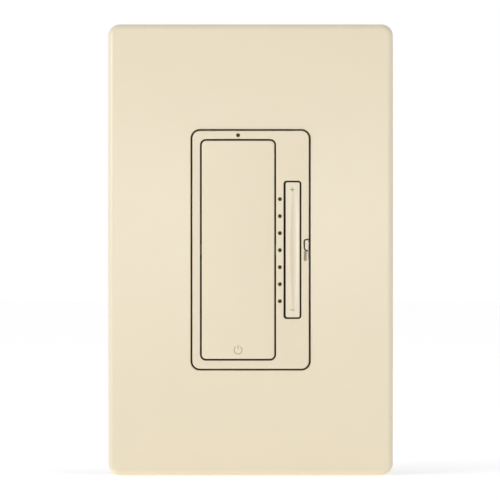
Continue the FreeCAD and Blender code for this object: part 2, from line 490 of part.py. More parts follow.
def paddle():
    """The on and off rocker: a crowned cap with a skirt, axle lugs, switch pushers and spring seats."""
    half_w = PADDLE_W / 2
    radius = (half_w**2 + PADDLE_CROWN**2) / (2 * PADDLE_CROWN)
    drum = rod_z(radius, -FAR, FAR, PADDLE_X, PADDLE_EDGE_Y - PADDLE_CROWN + radius)
    cap = rounded(PADDLE_W, PADDLE_H, PADDLE_CORNER, -9, PADDLE_SKIRT, PADDLE_X).common(drum)
    cap = round_off(cap, PADDLE_EDGE_ROUND, lambda b: b.YMax < -7 and (b.ZLength > 20 or abs(b.ZMin) > 28))
    inner_w, inner_h = PADDLE_W - 2 * PADDLE_WALL, PADDLE_H - 2 * PADDLE_WALL
    cap = cap.cut(rounded(inner_w, inner_h, 0.5, PADDLE_UNDER, 0, PADDLE_X))
    root = PADDLE_UNDER - 0.2
    ears = block(PADDLE_X, 0, PADDLE_W + 2 * PADDLE_EAR, PADDLE_EAR_H, PADDLE_EAR_FRONT, PADDLE_SKIRT)
    pieces = [cap, ears.cut(block(PADDLE_X, 0, inner_w, 4, -8, 0))]
    for s in SIDES:
        pieces.append(lug(PADDLE_X + s * PADDLE_LUG_X, PADDLE_LUG_T, PADDLE_LUG_R, root, PADDLE_LUG_R))
        pieces.append(block(PADDLE_X, s * PADDLE_KEY_Z, PADDLE_KEY_W, PADDLE_KEY_W, root, KEY_TIP))
        pieces.append(rod(PADDLE_SPRING_POST_R, root, PADDLE_UNDER + 0.9, PADDLE_X, s * PADDLE_SPRING_Z))
        pieces.append(block(PADDLE_X, s * PADDLE_RIB_Z, inner_w + 0.4, PADDLE_RIB_T, root, PADDLE_RIB_BACK))
    bore = rod_x(PADDLE_PIN_R + PIN_CLEARANCE, PADDLE_X - 6, PADDLE_X + 6, PIVOT_Y, 0)
    return fuse(*pieces).cut(bore)


def finger_groove():
    """A groove along the bar, deepest at mid-height, that fades out before the bar's ends."""
    x = BAR_X + GROOVE_OFFSET
    axis_y = BAR_FRONT - GROOVE_R + GROOVE_DEPTH
    edge_y = BAR_FRONT + 0.02
    top, low = V(x, edge_y, GROOVE_END), V(x, edge_y, -GROOVE_END)
    axis_top, axis_low = V(x, axis_y, GROOVE_END), V(x, axis_y, -GROOVE_END)
    outline = Part.Wire([
        Part.Arc(top, V(x, axis_y + GROOVE_R, 0), low).toShape(),
        Part.makeLine(low, axis_low),
        Part.makeLine(axis_low, axis_top),
        Part.makeLine(axis_top, top),
    ])
    return Part.Face(outline).revolve(V(x, axis_y, 0), Z, 360)


def dimmer_bar():
    """The brighter and dimmer rocker: a slim grooved cap with an axle lug, pushers and spring seats."""
    cap = rounded(BAR_W, BAR_H, BAR_CORNER, BAR_FRONT, BAR_SKIRT, BAR_X)
    cap = round_off(cap, BAR_EDGE_ROUND, lambda b: b.YMax < BAR_FRONT + 0.01)
    inner_w, inner_h = BAR_W - 2 * BAR_WALL, BAR_H - 2 * BAR_WALL
    cap = cut(cap, finger_groove(), rounded(inner_w, inner_h, 0.3, BAR_UNDER, 0, BAR_X))
    root = BAR_UNDER - 0.2
    pieces = [cap, lug(BAR_X, BAR_LUG_T, BAR_LUG_R, root, BAR_LUG_R)]
    for s in SIDES:
        pieces.append(block(BAR_X, s * BAR_KEY_Z, BAR_KEY_W, BAR_KEY_W, root, KEY_TIP))
        pieces.append(rod(BAR_SPRING_POST_R, root, BAR_UNDER + 0.8, BAR_X, s * BAR_SPRING_Z))
    bore = rod_x(BAR_PIN_R + PIN_CLEARANCE, BAR_X - 2, BAR_X + 2, PIVOT_Y, 0)
    return fuse(*pieces).cut(bore)


def pivot_pin(x, radius, half_length):
    """A steel axle for one rocker."""
    pin = rod_x(radius, x - half_length, x + half_length, PIVOT_Y, 0)
    return bevel(pin, 0.15, lambda b: b.XLength < 0.01)


def pivot_carrier():
    """The moulded plate between bezel and strap that holds both axles and the spring seats."""
    root = CARRIER_FRONT + 0.2
    pieces = [rounded(CARRIER_W, CARRIER_H, 0.8, CARRIER_FRONT, STRAP_FRONT)]
    for s in SIDES:
        pieces.append(lug(PADDLE_X + s * PADDLE_POST_X, PADDLE_LUG_T, PADDLE_LUG_R, root, PADDLE_LUG_R))
        pieces.append(lug(BAR_X + s * BAR_POST_X, BAR_POST_T, BAR_POST_R, root, BAR_POST_R))
        seat_front = CARRIER_FRONT - SPRING_SEAT
        pieces.append(rod(PADDLE_SPRING_POST_R, seat_front, root, PADDLE_X, s * PADDLE_SPRING_Z))
        pieces.append(rod(BAR_SPRING_POST_R, seat_front, root, BAR_X, s * BAR_SPRING_Z))
    tools = [
        rod_x(PADDLE_PIN_R + 0.01, PADDLE_X - 8, PADDLE_X + 8, PIVOT_Y, 0),
        rod_x(BAR_PIN_R + 0.01, BAR_X - 2, BAR_X + 2, PIVOT_Y, 0),
        block(LED_X, 0, 2 * PIPE_R + 0.4, PIPE_WEB_H + 0.4, -3, -1),
        rod(PIPE_R + 0.2, -3, -1, LOCATOR_X, LOCATOR_Z),
    ]
    for s in SIDES:
        tools.append(block(PADDLE_X, s * PADDLE_KEY_Z, PADDLE_KEY_WAY, PADDLE_KEY_WAY, -3, -1))
        tools.append(block(BAR_X, s * BAR_KEY_Z, BAR_KEY_WAY_W, BAR_KEY_WAY_H, -3, -1))
    return cut(fuse(*pieces), *tools)


def springs(x, z, r, wire, under):
    """A pair of return springs between the carrier and the underside of a rocker."""
    end = 0.02 + wire / 2
    length = CARRIER_FRONT - under - 2 * end
    return [coil(r, wire, under + end, length, x, s * z) for s in SIDES]


# ---------------------------------------------------------------- lights
def level_light_pipe():
    """One clear moulding with a rod for each level light, joined by a web."""
    web = block(LED_X, 0, 2 * PIPE_R, PIPE_WEB_H, PIPE_WEB_Y0, PIPE_WEB_Y1)
    rods = [rod(PIPE_R, BEZEL_FRONT + PIPE_SUNK, LED_FRONT - 0.1, LED_X, z) for z in led_rows()]
    return fuse(web, *rods)


def locator_light_pipe():
    """The single light rod above the paddle."""
    return rod(PIPE_R, BEZEL_FRONT + PIPE_SUNK, LED_FRONT - 0.1, LOCATOR_X, LOCATOR_Z)


def status_leds():
    """Eight surface-mount lamps under the light rods."""
    places = [(LED_X, z) for z in led_rows()] + [(LOCATOR_X, LOCATOR_Z)]
    return [block(x, z, LED_W, LED_H, LED_FRONT, CONTROL_FRONT) for x, z in places]


# ---------------------------------------------------------------- air-gap switch
def air_gap_slider():
    """The pull tab at the bezel's right edge, with its stem and end stop."""
    head = tab_outline(0, BEZEL_FRONT, TAB_BACK)
    head = round_off(head, 0.15, lambda b: b.YMax < BEZEL_FRONT + 0.01)
    stem = box(TAB_X0, TAB_X1, TAB_BACK - 0.2, STEM_END, STEM_Z0, STEM_Z1)
    stop_y = SLIDER_TRAVEL + STOP_GAP
    stop = box(TAB_X0 - STOP_OUT, TAB_X1 + STOP_OUT, stop_y, stop_y + STOP_T, STEM_Z0, STEM_Z1)
    return fuse(head, stem, stop)


def air_gap_bridge():
    """The contact bar on the slider's inner end."""
    middle = (TAB_X0 + TAB_X1) / 2
    back = STEM_END + BRIDGE_T
    bar = box(TAB_X0, TAB_X1, STEM_END, back, BRIDGE_Z0, BRIDGE_Z1)
    buttons = [Part.makeCone(0.45, 0.35, BRIDGE_BUTTON, V(middle, back, z), Y) for z in CONTACT_Z]
    return fuse(bar, *buttons)


def air_gap_contacts():
    """The two fixed blades that the bridge joins while the slider is pushed in."""
    middle = (TAB_X0 + TAB_X1) / 2
    pip_y = STEM_END + BRIDGE_T + BRIDGE_BUTTON + CONTACT_GAP
    made = []
    for z in CONTACT_Z:
        pip = Part.makeCone(0.35, 0.45, 0.2, V(middle, pip_y, z), Y)
        made.append(fuse(block(middle, z, CONTACT_T, CONTACT_W, pip_y + 0.2, POWER_FRONT), pip))
    return made


# ---------------------------------------------------------------- control board
def control_board():
    """The front board, with the switches and lights on it."""
    board = box(CONTROL_X0, CONTROL_X1, CONTROL_FRONT, CONTROL_BACK, -CONTROL_HALF_H, CONTROL_HALF_H)
    stop_room = block((TAB_X0 + TAB_X1) / 2, 1.35, 4.0, 5.1, 2, 6)
    corners = [block(COLUMN_X + 3, s * (COLUMN_Z + 3), 11.6, 11.6, 2, 6) for s in SIDES]
    return cut(board, stop_room, *corners)


def paddle_keys():
    """Where the paddle's two tactile switches are."""
    return [(PADDLE_X, s * PADDLE_KEY_Z) for s in SIDES]


def bar_keys():
    """Where the bar's two tactile switches are."""
    return [(BAR_X, s * BAR_KEY_Z) for s in SIDES]


def tactile_switch(x, z):
    """One switch body."""
    body = block(x, z, SWITCH_SIZE, SWITCH_SIZE, SWITCH_FRONT, CONTROL_FRONT)
    return bevel(body, 0.3, lambda b: b.YMax < SWITCH_FRONT + 0.01)


def plunger(x, z):
    """The round button of one tactile switch."""
    button = rod(PLUNGER_R, PLUNGER_TIP, SWITCH_FRONT, x, z)
    return round_off(button, 0.2, lambda b: b.YMax < PLUNGER_TIP + 0.01)


def microcontroller():
    """The control chip, a flat package with legs on four sides."""
    body_front, body_back, leg_front = CONTROL_FRONT - 1.1, CONTROL_FRONT - 0.15, CONTROL_FRONT - 0.55
    pieces = [block(PADDLE_X, CHIP_Z, CHIP_SIZE, CHIP_SIZE, body_front, body_back)]
    reach = CHIP_SIZE / 2 + 0.5
    for i in range(CHIP_LEGS):
        step = (i - (CHIP_LEGS - 1) / 2) * CHIP_PITCH
        for s in SIDES:
            pieces.append(block(PADDLE_X + step, CHIP_Z + s * reach, 0.35, 1.0, leg_front, CONTROL_FRONT))
            pieces.append(block(PADDLE_X + s * reach, CHIP_Z + step, 1.0, 0.35, leg_front, CONTROL_FRONT))
    return fuse(*pieces)


def chip_resistors():
    """The small resistors beside the lamps, one for each."""
    places = [(LED_X - RESISTOR_OFFSET, z) for z in led_rows()]
    places.append((LOCATOR_X - RESISTOR_OFFSET, LOCATOR_Z - 2.4))
    return [block(x, z, RESISTOR_W, RESISTOR_H, CONTROL_FRONT - RESISTOR_T, CONTROL_FRONT) for x, z in places]


# ---------------------------------------------------------------- between the boards
def header_pin_places():
    """Where the pins between the boards stand."""
    return [(HEADER_X + col * HEADER_PITCH, HEADER_Z + row * HEADER_PITCH)
            for row in range(HEADER_ROWS) for col in range(2)]


def header_body():
    """The insulator that keeps the board-to-board pins in line."""
    edge = HEADER_PITCH / 2
    body = box(HEADER_X - edge, HEADER_X + 3 * edge, HEADER_Y0, HEADER_Y1,
               HEADER_Z - edge, HEADER_Z + (2 * HEADER_ROWS - 1) * edge)
    return cut(body, *[block(x, z, HEADER_PIN, HEADER_PIN, 7, 13) for x, z in header_pin_places()])


def header_pins():
    """Ten square pins from the control board to the power board."""
    return [block(x, z, HEADER_PIN, HEADER_PIN, CONTROL_BACK, POWER_FRONT) for x, z in header_pin_places()]


def board_spacers():
    """Four plain posts that hold the boards apart."""
    return [rod(SPACER_R, CONTROL_BACK, POWER_FRONT, x, z) for x, z in SPACERS]


# ---------------------------------------------------------------- power board
def power_board():
    """The rear board, wide at mid-height and narrow where the terminal pockets stand."""
    board = fuse(block(0, 0, POWER_W, POWER_WAIST_H, POWER_FRONT, POWER_BACK),
                 block(0, 0, POWER_NARROW_W, POWER_H, POWER_FRONT, POWER_BACK))
    corners = [block(sx * (COLUMN_X + 2), sz * (COLUMN_Z + 2), 10.0, 10.0, POWER_FRONT - 1, POWER_BACK + 1)
               for sx in SIDES for sz in SIDES]
    return cut(board, *corners)


def choke_core():
    """The toroid of the noise choke."""
    y0, y1 = POWER_BACK + CHOKE_LIFT, POWER_BACK + CHOKE_LIFT + CHOKE_H
    ring = rod(CHOKE_OUTER, y0, y1, CHOKE_X, CHOKE_Z)
    return ring.cut(rod(CHOKE_INNER, y0 - 1, y1 + 1, CHOKE_X, CHOKE_Z))


def choke_winding():
    """Separate turns of enamelled wire round the toroid."""
    wire = CHOKE_WIRE
    y0, y1 = POWER_BACK + CHOKE_LIFT, POWER_BACK + CHOKE_LIFT + CHOKE_H
    made = []
    for i in range(CHOKE_TURNS):
        outside = box(CHOKE_INNER - wire, CHOKE_OUTER + wire, y0 - wire, y1 + wire, -wire / 2, wire / 2)
        outside = round_off(outside, 0.35, lambda b: b.ZLength < 0.01)
        turn = outside.cut(box(CHOKE_INNER - 0.02, CHOKE_OUTER + 0.02, y0 - 0.02, y1 + 0.02, -wire, wire))
        turn.translate(V(CHOKE_X, 0, CHOKE_Z))
        turn.rotate(V(CHOKE_X, 0, CHOKE_Z), Y, i * 360.0 / CHOKE_TURNS)
        made.append(turn)
    return made


def film_capacitor():
    """The boxed mains capacitor."""
    case = box(FILM_X0, FILM_X1, POWER_BACK, POWER_BACK + FILM_H, FILM_Z0, FILM_Z1)
    return case.makeFillet(0.5, case.Edges)


def supply_capacitor():
    """The electrolytic can, with its rolled neck."""
    top = POWER_BACK + CAN_H
    can = round_off(rod(CAN_R, POWER_BACK, top, CAN_X, CAN_Z), 0.6, lambda b: b.YMin > top - 0.01)
    return can.cut(Part.makeTorus(CAN_R + 0.2, CAN_NECK_R, V(CAN_X, POWER_BACK + CAN_NECK, CAN_Z), Y))


def varistor():
    """The surge absorber, a coated disc on edge."""
    middle = (DISC_X0 + DISC_X1) / 2
    disc = rod_x(DISC_R, DISC_X0, DISC_X1, POWER_BACK + DISC_LIFT, DISC_Z)
    disc = round_off(disc, 1.2, lambda b: b.XLength < 0.01)
    legs = [rod(DISC_LEG_R, POWER_BACK, POWER_BACK + DISC_LEG_L, middle, DISC_Z + s * DISC_LEG_Z)
            for s in SIDES]
    return fuse(disc, *legs)


def fuse_link():
    """The small round fuse on the power board."""
    axis_y = POWER_BACK + FUSE_R + 0.7
    pieces = [rod_z(FUSE_R, FUSE_Z0 + 0.5, FUSE_Z1 - 0.5, FUSE_X, axis_y)]
    for z in (FUSE_Z0, FUSE_Z1 - FUSE_CAP):
        pieces.append(rod_z(FUSE_R + 0.2, z, z + FUSE_CAP, FUSE_X, axis_y))
        pieces.append(rod(0.4, POWER_BACK, POWER_BACK + 1.0, FUSE_X, z + FUSE_CAP / 2))
    return fuse(*pieces)


# ---------------------------------------------------------------- power transistors
def transistor_tabs():
    """The metal tabs and legs of the two power transistors."""
    face = HEAT_TAB_X0 - PAD
    made = []
    for s in SIDES:
        z = s * TRANSISTOR_Z
        half = TRANSISTOR_W / 2
        tab = box(face - TRANSISTOR_TAB_T, face, TRANSISTOR_TAB_Y0, TRANSISTOR_BODY_Y0, z - half, z + half)
        made.append(tab.cut(rod_x(TRANSISTOR_HOLE_R, face - 3, face + 1, TRANSISTOR_HOLE_Y, z)))
        made += [block(face - TRANSISTOR_LEG_X, z + i * TRANSISTOR_LEG_PITCH,
                       TRANSISTOR_LEG_T, TRANSISTOR_LEG_W, TRANSISTOR_BODY_Y1, POWER_FRONT)
                 for i in (-1, 0, 1)]
    return made


def transistor_bodies():
    """The black epoxy bodies of the two power transistors."""
    face = HEAT_TAB_X0 - PAD
    outer = face - TRANSISTOR_BODY_T
    made = []
    for s in SIDES:
        z0, z1 = s * TRANSISTOR_Z - TRANSISTOR_W / 2, s * TRANSISTOR_Z + TRANSISTOR_W / 2
        body = box(outer, face, TRANSISTOR_BODY_Y0, TRANSISTOR_BODY_Y1, z0, z1)
        made.append(bevel(body, 0.4, lambda b: b.XMax < outer + 0.01))
    return made


def thermal_pads():
    """Insulating pads between the transistors and the strap's tab."""
    made = []
    for s in SIDES:
        z = s * TRANSISTOR_Z
        pad = box(HEAT_TAB_X0 - PAD, HEAT_TAB_X0, 0.4, HEAT_TAB_END - 0.1, z - PAD_HALF, z + PAD_HALF)
        made.append(pad.cut(rod_x(TRANSISTOR_HOLE_R, HEAT_TAB_X0 - 1, HEAT_TAB_X0 + 1, TRANSISTOR_HOLE_Y, z)))
    return made


def transistor_screws():
    """Two screws that pull the transistors onto the strap's tab."""
    head_x = HEAT_TAB_X0 - PAD - TRANSISTOR_TAB_T
    length = HEAT_TAB_X1 - 0.2 - head_x
    screw = pan_head_screw(TRANSISTOR_SCREW_R, length, TRANSISTOR_HEAD_R, TRANSISTOR_HEAD, TRANSISTOR_SLOT)
    return [place(screw, X, (head_x, TRANSISTOR_HOLE_Y, s * TRANSISTOR_Z)) for s in SIDES]


# ---------------------------------------------------------------- rear housing
def screw_column(sx, sz):
    """A column for a housing screw, webbed to both walls of its corner."""
    x, z = sx * COLUMN_X, sz * COLUMN_Z
    back, half = HOUSING_DEPTH - 1, HOUSING_RIB / 2
    return fuse(
        rod(COLUMN_R, STRAP_BACK, back, x, z),
        box(x, sx * HOUSING_W / 2, STRAP_BACK, back, z - half, z + half),
        box(x - half, x + half, STRAP_BACK, back, z, sz * HOUSING_H / 2),
    )


def pocket_walls(sx, sz):
    """The block that a terminal pocket is sunk into."""
    half = POCKET_W / 2 + POCKET_WALL
    return box(sx * (POCKET_X - POCKET_WALL), sx * HOUSING_W / 2,
               POCKET_Y0 - POCKET_WALL, POCKET_Y1 + POCKET_WALL,
               sz * TERMINAL_Z - half, sz * TERMINAL_Z + half)


def pocket_tools(sx, sz):
    """What is cut out for one terminal: its pocket, screw room and the lug's slot."""
    z = sz * TERMINAL_Z
    wall_x0, wall_x1 = sx * (POCKET_X - POCKET_WALL - 1), sx * (POCKET_X + 0.1)
    return [
        box(sx * POCKET_X, sx * (HOUSING_W / 2 + 2), POCKET_Y0, POCKET_Y1, z - POCKET_W / 2, z + POCKET_W / 2),
        rod_x(TERMINAL_SCREW_R + 0.25, wall_x0, wall_x1, TERMINAL_Y, z),
        block((wall_x0 + wall_x1) / 2, z, abs(wall_x1 - wall_x0), LUG_LEG_W + 0.2, LUG_Y0 + 0.8, LUG_Y0 + 1.9),
    ]


def rear_housing():
    """The tub behind the strap: walls, screw columns, board posts and the four terminal pockets."""
    tub = rounded(HOUSING_W, HOUSING_H, HOUSING_CORNER, STRAP_BACK, HOUSING_DEPTH)
    tub = round_off(tub, HOUSING_EDGE, lambda b: b.YMin > HOUSING_DEPTH - 0.01)
    inner_w, inner_h = HOUSING_W - 2 * HOUSING_WALL, HOUSING_H - 2 * HOUSING_WALL
    inner_corner = HOUSING_CORNER - HOUSING_WALL
    tub = tub.cut(rounded(inner_w, inner_h, inner_corner, -1, HOUSING_DEPTH - HOUSING_WALL))
    room = rounded(inner_w + 0.5, inner_h + 0.5, inner_corner + 0.25, STRAP_BACK, HOUSING_DEPTH - 1)
    extras = [block(s * BOARD_POST_X, 0, BOARD_POST_W, BOARD_POST_H, POWER_BACK, HOUSING_DEPTH - 1)
              for s in SIDES]
    tools = []
    for sx in SIDES:
        for sz in SIDES:
            extras += [screw_column(sx, sz), pocket_walls(sx, sz)]
            tools += pocket_tools(sx, sz)
            x, z = sx * COLUMN_X, sz * COLUMN_Z
            tools.append(rod(HOUSING_SCREW_R + 0.1, -1, HOUSING_DEPTH + 1, x, z))
            tools.append(rod(HOUSING_HEAD_R + 0.1, HOUSING_DEPTH - HOUSING_SCREW_SUNK, HOUSING_DEPTH + 1, x, z))
    beyond = HOUSING_DEPTH + 1
    tools.append(rounded(GAUGE_W, GAUGE_H, GAUGE_CORNER, HOUSING_DEPTH - GAUGE_SUNK, beyond, 0, GAUGE_Z))
    tools.append(rounded(LABEL_W, LABEL_H, LABEL_CORNER, HOUSING_DEPTH - LABEL_SUNK, beyond, 0, LABEL_Z))
    tools += [rounded(VENT_W, VENT_H, VENT_R, HOUSING_DEPTH - 3, beyond, x, VENT_Z) for x in VENT_XS]
    return cut(fuse(tub, *[e.common(room) for e in extras]), *tools)


def housing_screws():
    """Four long screws that clamp the housing to the strap."""
    screw = pan_head_screw(
        HOUSING_SCREW_R, HOUSING_SCREW_LENGTH, HOUSING_HEAD_R, HOUSING_HEAD, HOUSING_SCREW_SLOT)
    return [place(screw, -Y, (sx * COLUMN_X, HOUSING_DEPTH - HOUSING_SCREW_SUNK, sz * COLUMN_Z))
            for sx in SIDES for sz in SIDES]


# ---------------------------------------------------------------- terminals
def terminal_lug(side, row):
    """A brass plate in its pocket, with a tail to the power board."""
    z = row * TERMINAL_Z
    slot_y = LUG_Y0 + 0.9
    plate = block(POCKET_X + LUG_T / 2, z, LUG_T, LUG_W, LUG_Y0, LUG_Y1)
    tail = box(LUG_LEG_X, POCKET_X + 0.5, slot_y, slot_y + 0.9, z - LUG_LEG_W / 2, z + LUG_LEG_W / 2)
    leg = box(LUG_LEG_X, LUG_LEG_X + 0.9, slot_y, POWER_FRONT, z - LUG_LEG_W / 2, z + LUG_LEG_W / 2)
    whole = fuse(plate, tail, leg).cut(rod_x(TERMINAL_SCREW_R + 0.03, 15.5, 20, TERMINAL_Y, z))
    return whole if side > 0 else mirror_x(whole)


def terminal_clamp(side, row):
    """The pressure plate under a terminal screw's head, with a lip at each end."""
    z = row * TERMINAL_Z
    plate = block(CLAMP_X0 + CLAMP_T / 2, z, CLAMP_T, CLAMP_W, CLAMP_Y0, CLAMP_Y1)
    lips = [block(CLAMP_X0 - CLAMP_LIP / 2 + 0.1, z, CLAMP_LIP + 0.2, CLAMP_W, y, y + 0.7)
            for y in (CLAMP_Y0, CLAMP_Y1 - 0.7)]
    whole = fuse(plate, *lips).cut(rod_x(TERMINAL_SCREW_R + 0.1, 17, 22, TERMINAL_Y, z))
    return whole if side > 0 else mirror_x(whole)


def terminal_screw(side, row):
    """A binding-head screw through clamp and lug."""
    head_at = CLAMP_X0 + CLAMP_T
    screw = pan_head_screw(TERMINAL_SCREW_R, head_at - TERMINAL_SCREW_TIP, TERMINAL_HEAD_R, TERMINAL_HEAD, 1.0)
    return place(screw, X * -side, (side * head_at, TERMINAL_Y, row * TERMINAL_Z))


def build():
    """Makes every node and writes it."""
    os.makedirs(OUT, exist_ok=True)
    corners = [(side, row) for side in SIDES for row in SIDES]
    save("wall_plate", wall_plate())
    save("mounting_frame", mounting_frame())
    save("plate_screws", *plate_screws())
    save("heat_sink_strap", heat_sink_strap())
    save("box_screws", *box_screws())
    save("screw_retainers", *screw_retainers())
    save("ground_screw", ground_screw())
    save("front_bezel", front_bezel())
    save("paddle", paddle())
    save("paddle_pivot_pin", pivot_pin(PADDLE_X, PADDLE_PIN_R, PADDLE_PIN_HALF))
    save("paddle_springs",
         *springs(PADDLE_X, PADDLE_SPRING_Z, PADDLE_SPRING_R, PADDLE_SPRING_WIRE, PADDLE_UNDER))
    save("dimmer_bar", dimmer_bar())
    save("bar_pivot_pin", pivot_pin(BAR_X, BAR_PIN_R, BAR_PIN_HALF))
    save("bar_springs", *springs(BAR_X, BAR_SPRING_Z, BAR_SPRING_R, BAR_SPRING_WIRE, BAR_UNDER))
    save("pivot_carrier", pivot_carrier())
    save("level_light_pipe", level_light_pipe())
    save("locator_light_pipe", locator_light_pipe())
    save("status_leds", *status_leds())
    save("air_gap_slider", air_gap_slider())
    save("air_gap_bridge", air_gap_bridge())
    save("air_gap_contacts", *air_gap_contacts())
    save("control_board", control_board())
    save("tactile_switches", *[tactile_switch(x, z) for x, z in paddle_keys() + bar_keys()])
    save("paddle_switch_plungers", *[plunger(x, z) for x, z in paddle_keys()])
    save("bar_switch_plungers", *[plunger(x, z) for x, z in bar_keys()])
    save("microcontroller", microcontroller())
    save("chip_resistors", *chip_resistors())
    save("header_body", header_body())
    save("header_pins", *header_pins())
    save("board_spacers", *board_spacers())
    save("power_board", power_board())
    save("choke_core", choke_core())
    save("choke_winding", *choke_winding())
    save("film_capacitor", film_capacitor())
    save("supply_capacitor", supply_capacitor())
    save("varistor", varistor())
    save("fuse_link", fuse_link())
    save("transistor_tabs", *transistor_tabs())
    save("transistor_bodies", *transistor_bodies())
    save("thermal_pads", *thermal_pads())
    save("transistor_screws", *transistor_screws())
    save("rear_housing", rear_housing())
    save("housing_screws", *housing_screws())
    save("terminal_lugs", *[terminal_lug(side, row) for side, row in corners])
    save("terminal_clamps", *[terminal_clamp(side, row) for side, row in corners])
    save("line_terminal_screw", terminal_screw(-1, 1))
    save("load_terminal_screws", terminal_screw(-1, -1), terminal_screw(1, 1))
    save("neutral_terminal_screw", terminal_screw(1, -1))


build()
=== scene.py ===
"""Looks of a paddle dimmer in its screwless wall plate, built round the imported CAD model.

Shapes are made in millimetres, in the CAD model's frame, and turned into metres by assemble().
"""
import bmesh
import bpy
import json
import math
from mathutils import Matrix, Vector

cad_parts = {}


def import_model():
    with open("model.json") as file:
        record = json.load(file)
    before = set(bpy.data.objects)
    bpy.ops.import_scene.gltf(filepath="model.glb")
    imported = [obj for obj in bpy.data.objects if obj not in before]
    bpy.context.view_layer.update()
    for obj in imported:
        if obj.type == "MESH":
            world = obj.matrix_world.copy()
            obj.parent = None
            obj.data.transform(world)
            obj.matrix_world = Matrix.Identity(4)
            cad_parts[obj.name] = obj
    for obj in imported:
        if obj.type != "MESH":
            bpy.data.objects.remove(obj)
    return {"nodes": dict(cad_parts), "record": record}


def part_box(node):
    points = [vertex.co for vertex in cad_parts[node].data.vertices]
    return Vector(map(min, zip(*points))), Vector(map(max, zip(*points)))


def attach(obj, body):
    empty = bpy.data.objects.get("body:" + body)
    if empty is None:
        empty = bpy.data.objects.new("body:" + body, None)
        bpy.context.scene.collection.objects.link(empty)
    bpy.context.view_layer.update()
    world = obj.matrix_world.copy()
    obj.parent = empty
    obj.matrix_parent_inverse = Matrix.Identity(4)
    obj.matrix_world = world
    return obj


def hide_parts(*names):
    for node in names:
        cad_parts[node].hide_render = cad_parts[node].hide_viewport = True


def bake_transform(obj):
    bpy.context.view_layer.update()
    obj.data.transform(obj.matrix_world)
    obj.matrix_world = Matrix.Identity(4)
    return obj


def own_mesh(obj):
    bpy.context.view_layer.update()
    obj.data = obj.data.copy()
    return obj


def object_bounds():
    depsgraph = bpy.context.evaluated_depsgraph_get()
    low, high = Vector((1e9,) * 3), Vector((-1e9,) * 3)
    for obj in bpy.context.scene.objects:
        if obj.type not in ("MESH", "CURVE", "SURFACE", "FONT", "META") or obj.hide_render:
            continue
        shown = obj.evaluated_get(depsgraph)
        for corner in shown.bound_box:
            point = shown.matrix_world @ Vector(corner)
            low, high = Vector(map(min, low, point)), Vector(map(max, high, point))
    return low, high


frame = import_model()
CAD_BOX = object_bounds()
NODES = frame["nodes"]
MM = 0.001
SIDES = (-1, 1)
X, Y, Z = Vector((1, 0, 0)), Vector((0, 1, 0)), Vector((0, 0, 1))

# ------------ CAD dimensions in millimetres
STRAP_FRONT, PLATE_SCREW_FRONT = -1.5, -3.5
BOX_SCREW_Z, BOX_SCREW_LENGTH, BOX_SCREW_NECK = 41.67, 25.4, 1.95
PLATE_SCREW_Z, PLATE_SCREW_END = 48.42, 6.5
GROUND_SCREW = (-13.5, 5.2, -37.3)
TERMINAL_X, TERMINAL_Y, TERMINAL_Z, TERMINAL_SHANK = 20.5, 16.5, 22.5, 4.6
HOUSING_SCREW_X, HOUSING_SCREW_Y, HOUSING_SCREW_Z, HOUSING_SCREW_LENGTH = 16.9, 31.1, 30.6, 32.3
TRANSISTOR_SCREW_X, TRANSISTOR_SCREW_Y, TRANSISTOR_Z, TRANSISTOR_SCREW_LENGTH = -15.6, 3.6, 6.4, 2.9
TRANSISTOR_LEG_X, TRANSISTOR_LEG_PITCH = -16.9, 2.54
PADDLE_X, PADDLE_FRONT, PADDLE_UNDER, PADDLE_SPRING_Z, PADDLE_KEY_Z = -3.5, -8.1, -6.5, 22.0, 8.0
BAR_X, BAR_FRONT, BAR_UNDER, BAR_SPRING_Z, BAR_KEY_Z = 11.71, -7.8, -6.4, 15.0, 9.0
CARRIER_FRONT, SWITCH_FRONT, PLUNGER_TIP = -2.7, -0.1, -1.0
LED_X, LED_MIDDLE_Z, LED_PITCH, LED_COUNT, LED_FRONT = 8.14, -0.1, 4.738, 7, 2.6
LOCATOR_X, LOCATOR_Z = -3.5, 31.9
RESISTOR_OFFSET, RESISTOR_DROP = 3.2, 2.4
CONTROL_FRONT, POWER_FRONT, POWER_BACK = 3.4, 17.0, 18.6
CHIP_X, CHIP_Z, CHIP_SIZE, CHIP_PITCH, CHIP_LEGS = -3.5, 20.5, 7.0, 0.8, 8
CHOKE_X, CHOKE_Z, CHOKE_INNER, CHOKE_OUTER, CHOKE_Y0, CHOKE_Y1 = -6.0, 14.5, 4.2, 7.6, 20.0, 26.6
CHOKE_TURNS, CHOKE_WIRE = 18, 0.8
CAN_X, CAN_Z, CAN_R, CAN_TOP, CAN_PIN = 8.0, -8.0, 5.0, 30.6, 1.25
FUSE_X, FUSE_Z0, FUSE_Z1, FUSE_CAP = -4.0, -28.0, -17.0, 1.8
FUSE_PINS = (FUSE_Z0 + FUSE_CAP / 2, FUSE_Z1 - FUSE_CAP / 2)
VARISTOR_X, VARISTOR_Z, VARISTOR_PIN, VARISTOR_COAT_END = -7.1, -10.0, 2.5, 20.1
FILM_X, FILM_PINS = 9.2, (5.2, 18.2)
EAR_X = 10.2                 # the paddle's ears lie beyond this from its middle, and get the painted shade there
HEADER_X, HEADER_Z, HEADER_PITCH, HEADER_ROWS = 4.0, -24.0, 2.54, 5
LABEL_Y, LABEL_Z, LABEL_W, LABEL_H = 32.7, 4.0, 27.0, 33.0


